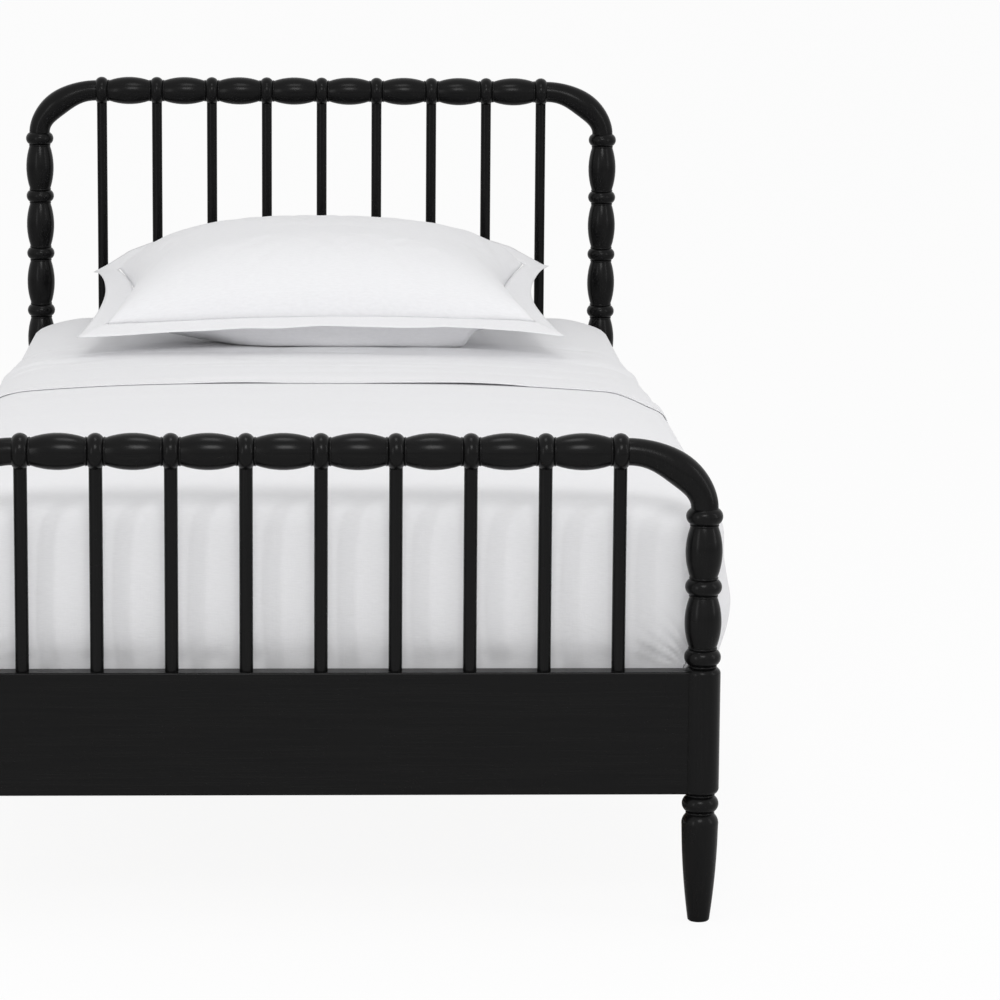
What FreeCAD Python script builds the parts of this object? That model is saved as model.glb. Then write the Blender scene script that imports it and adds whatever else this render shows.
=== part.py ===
import FreeCAD, Part
import Sketcher
import math
import os
from types import SimpleNamespace

# A single spindle bed in turned rubberwood, dressed with a mattress, a bedspread and a pillow.
# Millimetres. +Z is up, the floor is z = 0, +Y runs from the footboard to the headboard, and the
# origin is on the floor under the middle of the bed. Left and right are as seen from the foot.

doc = FreeCAD.newDocument("SpindleBed")
Vector = FreeCAD.Vector

# ---------------------------------------------------------------- driving dimensions
SIZES = [
    # mattress, which gives the frame its length and width
    ("mattress_width", 990),
    ("mattress_length", 1905),
    ("mattress_height", 266),
    ("mattress_head_gap", 9),     # mattress to the inner face of the head board
    ("mattress_foot_gap", 31),
    ("mattress_side_gap", 3),     # mattress to the inner face of a side rail
    ("mattress_corner", 45),      # plan radius of the corners
    ("mattress_edge", 22),        # rounding along the top and bottom
    # turning shared by posts and top rails
    ("ring_radius", 24.5),        # beads, the fat part of the swellings, and the post blocks
    ("neck_radius", 18.5),        # the narrow places beside each bead
    ("ring_thickness", 21),
    ("fillet_width", 3.2),        # small raised line on each side of a bead
    ("fillet_swell", 0.9),
    # legs and post blocks
    ("leg_height", 150),          # floor to the underside of the lowest bead
    ("leg_tip_radius", 14.5),
    ("leg_tip_edge", 1.5),        # small chamfer where the leg meets the floor
    ("leg_shoulder", 16),         # rounded top of the leg under the lowest bead
    ("leg_belly", 2),             # how far the leg's taper swells outside a straight line
    ("block_shoulder", 8),        # rounded ends of the plain round block that takes the boards
    ("head_post_pitch", 103.3),   # bead to bead up a headboard post
    ("head_post_swellings", 5),
    ("foot_post_pitch", 94.6),
    ("foot_post_swellings", 2),
    # corners and top rails
    ("corner_rise", 86),          # top bead of the post up to the rail's axis
    ("corner_end_radius", 18.2),
    ("corner_middle_radius", 22),
    ("corner_flattening", 3.5),   # how far inside a quarter ellipse its middle line runs half way
    ("corner_run", 101.3),        # post axis to the outer face of the rail's last bead
    ("rail_swellings", 8),        # one fewer than the spindles of a board
    ("dowel_radius", 5),
    ("dowel_length", 40),
    # spindles
    ("spindle_radius", 9),
    ("spindle_in_rail", 16),      # depth of the socket in the rail's bead
    ("spindle_in_board", 20),
    # boards between the posts
    ("board_thickness", 30),
    ("board_height", 166),
    ("board_lower_margin", 4.5),  # lower end of the post's block to the board
    ("board_upper_margin", 7.5),
    ("board_edge", 2.5),          # rounding of the long edges
    ("board_seat", 17),           # post axis to the flat the board's end stands against
    ("tenon_thickness", 12),
    ("tenon_shoulder", 33),       # board's edge to the tenon's edge
    ("tenon_length", 24),
    # side rails
    ("side_rail_thickness", 24),
    ("side_rail_offset", 5),      # outwards from the post axis, to give the mattress its width
    ("side_rail_seat", 17.5),     # post axis to the flat the rail's end stands against
    # hook plates and slot plates that join the side rails to the posts
    ("plate_thickness", 2.5),
    ("plate_width", 18),
    ("plate_height", 140),
    ("plate_screw_inset", 7),     # plate's end to its screw
    ("hook_spread", 60),
    ("hook_thickness", 4),
    ("hook_height", 24),
    ("hook_neck", 14),            # height of the hook where it passes through the slot
    ("hook_lip", 3),              # thickness of the part that hangs behind the slot plate
    ("hook_play", 1),             # room round the hooks inside the post
    # slats and what carries them
    ("slat_drop", 51.5),          # top of the side rails down to the top of the slats
    ("slat_count", 11),
    ("slat_width", 90),
    ("slat_margin", 25),          # ledger's end to the last slat
    ("slat_thickness", 16),
    ("slat_end_gap", 2),
    ("ledger_thickness", 20),
    ("ledger_height", 32),
    ("ledger_end_gap", 42.5),     # head or foot board to the ledger's end
    ("beam_width", 32),
    ("beam_height", 60),
    ("hanger_sheet", 2.5),
    ("hanger_length", 40),
    ("hanger_width", 86),
    ("hanger_height", 50),
    ("hanger_screw_inset", 11),   # bracket's side to its screws
    # wood screws
    ("screw_radius", 2),
    ("screw_head_radius", 4),
    ("screw_length", 27),
    # centre legs and their levelling feet
    ("centre_leg_spread", 500),   # between the two centre legs
    ("centre_leg_radius", 19),
    ("centre_leg_tenon_radius", 10),
    ("centre_leg_tenon", 24),
    ("centre_leg_clearance", 24),  # floor to the underside of the wooden leg
    ("insert_radius", 6.5),
    ("insert_length", 22),
    ("insert_flange_radius", 10),
    ("insert_flange", 1.5),
    ("stem_radius", 4),
    ("stem_length", 34),
    ("pad_radius", 16),
    ("pad_height", 8),
    ("nut_radius", 7.5),          # across the corners of the hexagon on the pad
    ("nut_height", 5),
    ("leveller_bore", 60),        # floor to the blind end of the hole up the leg
    # bedspread
    ("spread_air", 1),            # room between it and the mattress
    ("spread_top", 5),            # thickness over the edge of the mattress
    ("spread_crown", 13),         # how much higher its middle stands
    ("spread_hem", 40),           # side of the mattress to where the cloth rests on the side rail
    ("spread_bulge", 59),         # side of the mattress to the fattest part of the cloth
    ("spread_shoulder", 40),
    ("spread_shoulder_drop", 20),  # edge of the flat top down to the shoulder
    ("spread_edge_inset", 34),    # side of the mattress in to the edge of the flat top
    ("spread_straight", 900),     # foot end to where the swollen sides begin to draw in
    ("spread_fold_fullness", 0.32),  # share of the side's swelling that is left at the fold
    ("spread_foot", 12),          # thickness over the foot end of the mattress
    ("spread_foot_round", 45),    # how far back the foot's top edge is rounded
    ("spread_foot_drop", 36),     # crown down to where that rounding starts
    ("spread_foot_lean", 13.5),   # how far the middle of the rounding lies back and down
    ("spread_foot_swell", 4),
    ("spread_foot_tuck", 45),     # how far the foot end reaches down behind the foot board
    ("spread_corner", 95),        # plan radius at the foot corners
    # turned-back sheet
    ("fold_from_head", 416),      # head end of the mattress to the folded edge
    ("cuff_width", 477),          # folded edge to the hem of the turned-back band
    ("cuff_thickness", 5),
    # pillow
    ("pillow_width", 808),
    ("pillow_depth", 500),
    ("pillow_crown", 136),        # middle of the flat edge up to the top
    ("pillow_belly", 56),         # middle of the flat edge down to the underside
    ("pillow_hem", 5),            # thickness of the flat edge
    ("pillow_trace", 0.3),        # swelling left where the flat edge begins
    ("pillow_flange", 45),        # width of the flat edge
    ("pillow_waist", 30),         # how far each end is drawn in between its corners
    ("pillow_from_head", 339),    # head end of the mattress to the pillow's middle
    ("pillow_tilt", 5.6),         # degrees, the edge by the headboard being higher
    # clearances
    ("joint_gap", 0.2),           # between wooden pieces that are glued or pushed together
    ("screw_gap", 0.15),
    ("running_gap", 0.1),         # levelling stem in its insert
    ("rest_gap", 0.3),            # between soft pieces and what carries them
    ("cut_past", 1),              # how far a cutter reaches past the face that it opens
]

sheet = doc.addObject("Spreadsheet::Sheet", "Sizes")
for row, (alias, value) in enumerate(SIZES, start=1):
    sheet.set(f"A{row}", str(value))
    sheet.setAlias(f"A{row}", alias)
doc.recompute()


class Size:
    """A number together with the sheet expression that gives it, so that sums of sizes stay bound."""

    def __init__(self, value, text):
        self.value = value
        self.text = text

    def __add__(self, other):
        return combine(self, "+", as_size(other), self.value + as_size(other).value)

    def __radd__(self, other):
        return as_size(other) + self

    def __sub__(self, other):
        return combine(self, "-", as_size(other), self.value - as_size(other).value)

    def __rsub__(self, other):
        return as_size(other) - self

    def __mul__(self, other):
        return combine(self, "*", as_size(other), self.value * as_size(other).value)

    def __rmul__(self, other):
        return as_size(other) * self

    def __truediv__(self, other):
        return combine(self, "/", as_size(other), self.value / as_size(other).value)

    def __neg__(self):
        return as_size(-1) * self


def combine(first, sign, second, value):
    return Size(value, f"({first.text} {sign} {second.text})")


def as_size(number):
    return number if isinstance(number, Size) else Size(number, f"({number})")


bed = SimpleNamespace(**{alias: Size(sheet.get(alias), f"Sizes.{alias}") for alias, _ in SIZES})
ZERO = as_size(0)

# ---------------------------------------------------------------- places worked out from the sizes
half_length = (bed.mattress_length + bed.mattress_head_gap + bed.mattress_foot_gap
               + bed.board_thickness) / 2
side_rail_inner = bed.mattress_width / 2 + bed.mattress_side_gap
side_rail_middle = side_rail_inner + bed.side_rail_thickness / 2
side_rail_outer = side_rail_inner + bed.side_rail_thickness
half_width = side_rail_middle - bed.side_rail_offset
half_ring = bed.ring_thickness / 2

block_bottom = bed.leg_height + bed.ring_thickness
board_bottom = block_bottom + bed.board_lower_margin
board_top = board_bottom + bed.board_height
board_middle = board_bottom + bed.board_height / 2
board_face = half_length - bed.board_thickness / 2   # inner faces of the head and foot boards
block_top = board_top + bed.board_upper_margin
head_post_top = block_top + bed.head_post_pitch * bed.head_post_swellings + bed.ring_thickness
foot_post_top = block_top + bed.foot_post_pitch * bed.foot_post_swellings + bed.ring_thickness
head_rail_height = head_post_top - half_ring + bed.corner_rise
foot_rail_height = foot_post_top - half_ring + bed.corner_rise
top_rail_half = half_width - bed.corner_run
rail_pitch = (top_rail_half - half_ring) * 2 / bed.rail_swellings    # spindle to spindle

tenon_height = bed.board_height - bed.tenon_shoulder * 2
plate_screw_reach = bed.plate_height / 2 - bed.plate_screw_inset
post_seat = half_length - bed.side_rail_seat         # flat in the post for a side rail's end
side_rail_end = post_seat - bed.joint_gap

mattress_base = board_top - bed.slat_drop
slat_bottom = mattress_base - bed.slat_thickness
slat_end = side_rail_inner - bed.slat_end_gap
ledger_half = board_face - bed.ledger_end_gap
slat_pitch = (ledger_half * 2 - bed.slat_margin * 2 - bed.slat_width) / (bed.slat_count - 1)
ledger_inner = side_rail_inner - bed.ledger_thickness
ledger_middle = side_rail_inner - bed.ledger_thickness / 2
beam_bottom = slat_bottom - bed.beam_height
hanger_bottom = beam_bottom - bed.joint_gap - bed.hanger_sheet
hanger_face = board_face - bed.hanger_sheet
centre_leg_place = bed.centre_leg_spread / 2

mattress_head = board_face - bed.mattress_head_gap
mattress_foot = mattress_head - bed.mattress_length
mattress_top = mattress_base + bed.mattress_height
mattress_side = bed.mattress_width / 2
spread_low = board_top + bed.rest_gap
spread_edge_top = mattress_top + bed.spread_air + bed.spread_top
spread_front = mattress_foot - bed.spread_air - bed.spread_foot
fold_place = mattress_head - bed.fold_from_head
cuff_front = fold_place - bed.cuff_width
pillow_middle = mattress_head - bed.pillow_from_head
SIDES = (("left", -1), ("right", 1))
ENDS = (("headboard", 1), ("footboard", -1))

nodes = []


def node(made, label):
    """Marks a finished piece of the bed and gives it the name its file will have."""
    made.Label = label
    nodes.append(made)
    return made


def bind(made, **properties):
    for name, size in properties.items():
        made.setExpression(name, as_size(size).text)


def place(made, x=ZERO, y=ZERO, z=ZERO):
    for axis, size in zip("xyz", (x, y, z)):
        made.setExpression(f"Placement.Base.{axis}", as_size(size).text)


# ---------------------------------------------------------------- solids bound to the sheet
def box(name, x, y, z):
    """A block between three pairs of low and high sizes."""
    made = doc.addObject("Part::Box", name)
    bind(made, Length=x[1] - x[0], Width=y[1] - y[0], Height=z[1] - z[0])
    place(made, x[0], y[0], z[0])
    return made


def cylinder(name, radius, bottom, top, x=ZERO, y=ZERO):
    """An upright round bar."""
    made = doc.addObject("Part::Cylinder", name)
    bind(made, Radius=radius, Height=top - bottom)
    place(made, x, y, bottom)
    return made


def lying_cylinder(name, radius, start, end, y, z):
    """A round bar along X."""
    made = doc.addObject("Part::Cylinder", name)
    made.Placement.Rotation = FreeCAD.Rotation(Vector(0, 1, 0), 90)
    bind(made, Radius=radius, Height=end - start)
    place(made, start, y, z)
    return made


def fuse(name, *parts):
    made = doc.addObject("Part::MultiFuse", name)
    made.Shapes = list(parts)
    return made


def cut(name, base, tool):
    made = doc.addObject("Part::Cut", name)
    made.Base = base
    made.Tool = tool
    return made


def together(name, *parts):
    """Separate solids that share one object."""
    made = doc.addObject("Part::Compound", name)
    made.Links = list(parts)
    return made


def mirrored(name, source):
    """The same piece on the other side of the bed's middle."""
    made = doc.addObject("Part::Mirroring", name)
    made.Source = source
    made.Base = Vector(0, 0, 0)
    made.Normal = Vector(1, 0, 0)
    return made


def centred(middle, width):
    return middle - width / 2, middle + width / 2


def towards(sign, near, far):
    """A low and high pair that runs from near to far on the given side of zero."""
    return (near, far) if sign > 0 else (-far, -near)


def rounded_box(name, x, y, z, radius, along):
    """A plank whose four long edges, along x or y, are rounded."""
    body = doc.addObject("PartDesign::Body", name)
    block = body.newObject("PartDesign::AdditiveBox", name + "Block")
    bind(block, Length=x[1] - x[0], Width=y[1] - y[0], Height=z[1] - z[0])
    doc.recompute()
    round_edges(body, block, name + "Rounding", along, radius)
    place(body, x[0], y[0], z[0])
    return body


def soft_block(name, x, y, z, corner, edge):
    """A block with round upright corners and softer edges round its top and bottom."""
    body = doc.addObject("PartDesign::Body", name)
    block = body.newObject("PartDesign::AdditiveBox", name + "Block")
    bind(block, Length=x[1] - x[0], Width=y[1] - y[0], Height=z[1] - z[0])
    doc.recompute()
    corners = round_edges(body, block, name + "Corners", "z", corner)
    doc.recompute()
    rounding = body.newObject("PartDesign::Fillet", name + "Edges")
    level = [f"Face{number}" for number, face in enumerate(corners.Shape.Faces, start=1)
             if face.BoundBox.ZLength < edge.value / 10]
    rounding.Base = (corners, level)
    bind(rounding, Radius=edge)
    place(body, x[0], y[0], z[0])
    return body


def round_edges(body, block, name, along, radius):
    """Rounds a block's straight edges that run along one axis."""
    spans = {"x": "XLength", "y": "YLength", "z": "ZLength"}
    picked = []
    for number, edge in enumerate(block.Shape.Edges, start=1):
        if getattr(edge.BoundBox, spans[along]) > edge.Length * 0.99:
            picked.append(f"Edge{number}")
    rounding = body.newObject("PartDesign::Fillet", name)
    rounding.Base = (block, picked)
    bind(rounding, Radius=radius)
    return rounding


# ---------------------------------------------------------------- turned pieces
def outline_sketch(body, name, outline):
    """A closed half profile for turning: X is the radius and Y runs along the axis.

    outline lists (radius, height, swell); swell is how far the next side bows outwards, or None.
    """
    sketch = body.newObject("Sketcher::SketchObject", name)
    plane = next(f for f in body.Origin.OriginFeatures if f.Role == "XZ_Plane")
    sketch.AttachmentSupport = (plane, [""])
    sketch.MapMode = "FlatFace"
    outline = [(as_size(radius), as_size(height), swell) for radius, height, swell in outline]
    points = [Vector(radius.value, height.value, 0) for radius, height, _ in outline]
    ends = []
    for index, (radius, height, swell) in enumerate(outline):
        follower = (index + 1) % len(outline)
        start, finish = points[index], points[follower]
        chord = finish - start
        if swell is None:
            edge = sketch.addGeometry(Part.LineSegment(start, finish), False)
            first, last = 1, 2
        else:
            outward = Vector(chord.y, -chord.x, 0).normalize()
            crest = (start + finish) / 2 + outward * swell.value
            edge = sketch.addGeometry(Part.Arc(start, crest, finish), False)
            swapped = sketch.getPoint(edge, 1).distanceToPoint(start) > chord.Length / 2
            first, last = (2, 1) if swapped else (1, 2)
            across, along = outline[follower][0] - radius, outline[follower][1] - height
            square = across * across + along * along
            constrain(sketch, (square / 4 + swell * swell) / (2 * swell), "Radius", edge)
        if index:
            sketch.addConstraint(Sketcher.Constraint("Coincident", *ends[-1], edge, first))
        constrain(sketch, radius, "DistanceX", -1, 1, edge, first)
        constrain(sketch, height, "DistanceY", -1, 1, edge, first)
        ends.append((edge, last))
        if index == 0:
            opening = (edge, first)
    sketch.addConstraint(Sketcher.Constraint("Coincident", *ends[-1], *opening))
    return sketch


def constrain(sketch, size, kind, *places):
    """Adds one dimension to a sketch and ties it to the sheet; zero puts the point on an axis."""
    if size.value == 0:
        axis = -2 if kind == "DistanceX" else -1
        sketch.addConstraint(Sketcher.Constraint("PointOnObject", *places[2:], axis))
        return
    number = sketch.addConstraint(Sketcher.Constraint(kind, *places, size.value))
    name = f"size_{number}"
    sketch.renameConstraint(number, name)
    sketch.setExpression(f"Constraints.{name}", size.text)


def turn(body, name, outline):
    """Adds a turned length to a body, round the body's Z axis."""
    sketch = outline_sketch(body, name + "Profile", outline)
    made = body.newObject("PartDesign::Revolution", name)
    made.Profile = sketch
    made.ReferenceAxis = (sketch, ["V_Axis"])
    made.Angle = 360
    return made


def repeat(body, name, feature, pitch, count):
    """Repeats a turned length along the body's axis."""
    made = body.newObject("PartDesign::LinearPattern", name)
    made.Originals = [feature]
    made.Direction = (feature.Profile[0], ["V_Axis"])
    made.Mode = "Spacing"
    bind(made, Offset=pitch, Occurrences=count)
    body.Tip = made
    return made


def ring_and_swelling(bottom, pitch):
    """Outline of one bead and the swelling above it, with a small raised line at each neck."""
    rise = bed.ring_radius - bed.neck_radius
    top = bottom + bed.ring_thickness
    return [
        (ZERO, bottom, None),
        (bed.neck_radius, bottom, rise),
        (bed.neck_radius, top, bed.fillet_swell),
        (bed.neck_radius, top + bed.fillet_width, rise),
        (bed.neck_radius, bottom + pitch - bed.fillet_width, bed.fillet_swell),
        (bed.neck_radius, bottom + pitch, None),
        (ZERO, bottom + pitch, None),
    ]


def ring(bottom):
    """Outline of a bead by itself."""
    rise = bed.ring_radius - bed.neck_radius
    return [
        (ZERO, bottom, None),
        (bed.neck_radius, bottom, rise),
        (bed.neck_radius, bottom + bed.ring_thickness, None),
        (ZERO, bottom + bed.ring_thickness, None),
    ]


def leg_and_block():
    """Outline from the floor to the top of the plain block, with the lowest bead between."""
    rise = bed.ring_radius - bed.neck_radius
    shoulder_swell = bed.block_shoulder / 5
    leg_top = bed.leg_height - bed.fillet_width
    block_start = block_bottom + bed.fillet_width
    block_end = block_top - bed.fillet_width
    return [
        (ZERO, ZERO, None),
        (bed.leg_tip_radius - bed.leg_tip_edge, ZERO, None),
        (bed.leg_tip_radius, bed.leg_tip_edge, bed.leg_belly),
        (bed.ring_radius, leg_top - bed.leg_shoulder, bed.leg_shoulder / 7),
        (bed.neck_radius, leg_top, bed.fillet_swell),
        (bed.neck_radius, bed.leg_height, rise),
        (bed.neck_radius, block_bottom, bed.fillet_swell),
        (bed.neck_radius, block_start, shoulder_swell),
        (bed.ring_radius, block_start + bed.block_shoulder, None),
        (bed.ring_radius, block_end - bed.block_shoulder, shoulder_swell),
        (bed.neck_radius, block_end, bed.fillet_swell),
        (bed.neck_radius, block_top, None),
        (ZERO, block_top, None),
    ]


def post_blank(name, pitch, swellings, x, y):
    """A turned post before any joint is cut in it."""
    body = doc.addObject("PartDesign::Body", name)
    turn(body, name + "LegAndBlock", leg_and_block())
    segment = turn(body, name + "Segment", ring_and_swelling(block_top, pitch))
    repeat(body, name + "Segments", segment, pitch, swellings)
    turn(body, name + "TopRing", ring(block_top + pitch * swellings))
    place(body, x, y)
    return body


def top_rail_blank(name, y, z):
    """A turned rail, lying along X, before its sockets are cut."""
    body = doc.addObject("PartDesign::Body", name)
    segment = turn(body, name + "Segment", ring_and_swelling(ZERO, rail_pitch))
    repeat(body, name + "Segments", segment, rail_pitch, bed.rail_swellings)
    turn(body, name + "LastRing", ring(rail_pitch * bed.rail_swellings))
    body.Placement.Rotation = FreeCAD.Rotation(Vector(0, 1, 0), 90)
    place(body, -top_rail_half, y, z)
    return body


def corner_blank(name, y, bottom):
    """The bent corner on the right, from the post's top bead round to the rail's last bead.

    Its middle line is a slightly flattened quarter ellipse, and it is thickest half way round.
    """
    run = bed.corner_run.value
    rise = (bed.corner_rise - half_ring).value
    end, middle = bed.corner_end_radius.value, bed.corner_middle_radius.value
    flattening = bed.corner_flattening.value * math.sqrt(0.5)
    count = 9
    wires = []
    for index in range(count):
        angle = math.pi / 2 * index / (count - 1)
        inward = flattening * math.sin(2 * angle) ** 2
        inward_slope = flattening * 2 * math.sin(4 * angle)
        centre = Vector(half_width.value - run * (1 - math.cos(angle)) - inward, y.value,
                        bottom.value + rise * math.sin(angle) - inward)
        along = Vector(-run * math.sin(angle) - inward_slope, 0,
                       rise * math.cos(angle) - inward_slope)
        radius = end + (middle - end) * math.sin(2 * angle) ** 3
        wires.append(Part.Wire(Part.makeCircle(radius, centre, along)))
    made = doc.addObject("Part::Feature", name)
    made.Shape = Part.makeLoft(wires, True, False)
    return made


# ---------------------------------------------------------------- wood screws
def screw_solid(point, direction, allowance=0.0):
    """A countersunk screw with its head flush at point, or its hole when given an allowance."""
    radius = bed.screw_radius.value + allowance
    head = bed.screw_head_radius.value + allowance
    length = bed.screw_length.value + allowance
    profile = [
        Vector(0, 0, allowance),
        Vector(head, 0, allowance),
        Vector(head, 0, -allowance),
        Vector(radius, 0, radius - head - allowance),
        Vector(radius, 0, radius - length),
        Vector(0, 0, -length),
    ]
    if not allowance:
        profile.pop(2)
    face = Part.Face(Part.makePolygon(profile + profile[:1]))
    solid = face.revolve(Vector(0, 0, 0), Vector(0, 0, 1), 360)
    solid.Placement = FreeCAD.Placement(point, FreeCAD.Rotation(Vector(0, 0, -1), direction))
    return solid


def slat_places():
    count = int(bed.slat_count.value)
    return [slat_pitch * (index - (count - 1) / 2) for index in range(count)]


def screw_places():
    """Every screw of the bed, as the point of its head and the way it is driven."""
    found = []
    slats = [place.value for place in slat_places()]
    for y in slats:
        for x in (-ledger_middle.value, 0, ledger_middle.value):
            found.append((Vector(x, y, mattress_base.value), Vector(0, 0, -1)))
    ledger_height = (slat_bottom - bed.ledger_height / 2).value
    for _, side in SIDES:
        for before, after in zip(slats, slats[1:]):
            point = Vector(side * ledger_inner.value, (before + after) / 2, ledger_height)
            found.append((point, Vector(side, 0, 0)))
    for _, side in SIDES:
        for _, end in ENDS:
            for level in (-1, 1):
                x = side * side_rail_middle.value
                z = (board_middle + plate_screw_reach * level).value
                found.append((Vector(x, end * post_seat.value, z), Vector(0, end, 0)))
                found.append((Vector(x, end * side_rail_end.value, z), Vector(0, -end, 0)))
    for _, end in ENDS:
        for side in (-1, 1):
            for share in (1 / 4, 3 / 4):
                x = side * (bed.hanger_width / 2 - bed.hanger_screw_inset).value
                z = (hanger_bottom + bed.hanger_height * share).value
                found.append((Vector(x, end * hanger_face.value, z), Vector(0, end, 0)))
    return found


SCREWS = screw_places()
screw_holes = [screw_solid(point, way, bed.screw_gap.value) for point, way in SCREWS]


def drilled(name, piece):
    """The piece with every screw hole that reaches it."""
    doc.recompute()
    near = [hole for hole in screw_holes if hole.BoundBox.intersect(piece.Shape.BoundBox)]
    tool = doc.addObject("Part::Feature", name + "Holes")
    tool.Shape = Part.makeCompound(near)
    return cut(name, piece, tool)


# ---------------------------------------------------------------- posts
def hook_slot(level):
    """Low and high of one hook's slot: its neck rests on the slot's lower end."""
    middle = board_middle + bed.hook_spread / 2 * level
    bottom = middle - bed.hook_neck / 2
    return bottom, bottom + bed.hook_height + bed.hook_play


def post(name, end, pitch, swellings, top):
    """The right-hand post of the head (end 1) or the foot (end -1)."""
    blank = post_blank(name + "Blank", pitch, swellings, half_width, half_length * end)
    gap = bed.joint_gap
    past = bed.cut_past
    board_y = centred(half_length * end, bed.board_thickness + gap * 2)
    board_z = (board_bottom - gap, board_top + gap)
    seat_x = half_width - bed.board_seat
    tenon_y = centred(half_length * end, bed.tenon_thickness + gap * 2)
    tenon_z = centred(board_middle, tenon_height + gap * 2)
    rail_x = centred(side_rail_middle, bed.side_rail_thickness + gap * 2)
    plate_x = centred(side_rail_middle, bed.plate_width + gap * 2)
    groove_x = centred(side_rail_middle, bed.hook_thickness + bed.hook_play * 2)
    lip_drop = bed.hook_height - bed.hook_neck
    groove_low = hook_slot(-1)[0] - lip_drop - bed.hook_play
    groove_high = hook_slot(1)[1]
    plate_back = post_seat + bed.plate_thickness
    hook_back = plate_back + bed.hook_lip + bed.hook_play * 2
    inner_post = half_length - bed.ring_radius - bed.cut_past
    cuts = fuse(
        name + "Cuts",
        box(name + "BoardSeat", (seat_x - bed.ring_radius, seat_x), board_y, board_z),
        box(name + "Mortise", (seat_x - past, seat_x + bed.tenon_length + gap), tenon_y, tenon_z),
        box(name + "RailSeat", rail_x, towards(end, inner_post, post_seat), board_z),
        box(name + "PlateSeat", plate_x, towards(end, post_seat - past, plate_back + gap),
            centred(board_middle, bed.plate_height + gap * 2)),
        box(name + "HookGroove", groove_x, towards(end, post_seat, hook_back),
            (groove_low, groove_high)),
        cylinder(name + "DowelHole", bed.dowel_radius + gap, top - bed.dowel_length / 2 - gap,
                 top + past, half_width, half_length * end),
    )
    return drilled(name, cut(name + "Shaped", blank, cuts))


post_rows = {
    1: (bed.head_post_pitch, bed.head_post_swellings, head_post_top, head_rail_height),
    -1: (bed.foot_post_pitch, bed.foot_post_swellings, foot_post_top, foot_rail_height),
}
for board, end in ENDS:
    pitch, swellings, top, rail_height = post_rows[end]
    title = board.capitalize()
    right = post(title + "PostRight", end, pitch, swellings, top)
    node(right, board + "_post_right")
    node(mirrored(title + "PostLeft", right), board + "_post_left")

    # turned corner between post and top rail, with a dowel hole in each end
    bend = corner_blank(title + "CornerBend", half_length * end, top)
    hole = bed.dowel_radius + bed.joint_gap
    depth = bed.dowel_length / 2 + bed.joint_gap
    lower = cylinder(title + "CornerLowerHole", hole, top - bed.cut_past, top + depth, half_width,
                     half_length * end)
    upper = lying_cylinder(title + "CornerUpperHole", hole, top_rail_half - bed.cut_past,
                           top_rail_half + depth, half_length * end, rail_height)
    holes = fuse(title + "CornerHoles", lower, upper)
    right = cut(title + "CornerRight", bend, holes)
    node(right, board + "_corner_right")
    node(mirrored(title + "CornerLeft", right), board + "_corner_left")

    # spindles, and the top rail and board that hold their ends
    spindle_places = [rail_pitch * (index - bed.rail_swellings.value / 2)
                      for index in range(int(bed.rail_swellings.value) + 1)]
    rail_socket = rail_height - bed.ring_radius + bed.spindle_in_rail
    board_socket = board_top - bed.spindle_in_board
    wide = bed.spindle_radius + bed.joint_gap
    rail_cuts = []
    board_cuts = []
    for number, x in enumerate(spindle_places, start=1):
        spindle = cylinder(f"{title}Spindle{number}", bed.spindle_radius,
                           board_socket + bed.joint_gap, rail_socket - bed.joint_gap,
                           x, half_length * end)
        node(spindle, f"{board}_spindle_{number}")
        rail_cuts.append(cylinder(f"{title}RailSocket{number}", wide,
                                  rail_height - bed.ring_radius * 2, rail_socket,
                                  x, half_length * end))
        board_cuts.append(cylinder(f"{title}BoardSocket{number}", wide, board_socket,
                                   board_top + bed.cut_past, x, half_length * end))
    for side, sign in SIDES:
        rail_cuts.append(lying_cylinder(f"{title}Rail{side.capitalize()}Hole", hole,
                                        *towards(sign, top_rail_half - depth,
                                                 top_rail_half + bed.cut_past),
                                        half_length * end, rail_height))
    rail = top_rail_blank(title + "RailBlank", half_length * end, rail_height)
    sockets = fuse(title + "RailSockets", *rail_cuts)
    node(cut(title + "TopRail", rail, sockets), board + "_top_rail")

    board_end = half_width - bed.board_seat - bed.joint_gap
    plank = rounded_box(title + "Plank", (-board_end, board_end),
                        centred(half_length * end, bed.board_thickness),
                        (board_bottom, board_top), bed.board_edge, "x")
    tenons = box(title + "Tenons", (-board_end - bed.tenon_length, board_end + bed.tenon_length),
                 centred(half_length * end, bed.tenon_thickness),
                 centred(board_middle, tenon_height))
    shaped = cut(title + "BoardShaped", fuse(title + "BoardWhole", plank, tenons),
                 fuse(title + "BoardSockets", *board_cuts))
    node(drilled(title + "Board", shaped), board + "_board")

dowels = []
for board, end in ENDS:
    _, _, top, rail_height = post_rows[end]
    reach = bed.dowel_length / 2
    for side, sign in SIDES:
        name = board.capitalize() + side.capitalize()
        dowels.append(cylinder(name + "PostDowel", bed.dowel_radius, top - reach, top + reach,
                               half_width * sign, half_length * end))
        dowels.append(lying_cylinder(name + "RailDowel", bed.dowel_radius,
                                     *towards(sign, top_rail_half - reach, top_rail_half + reach),
                                     half_length * end, rail_height))
node(together("CornerDowels", *dowels), "corner_dowels")
print("stage: headboard and footboard")

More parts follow.
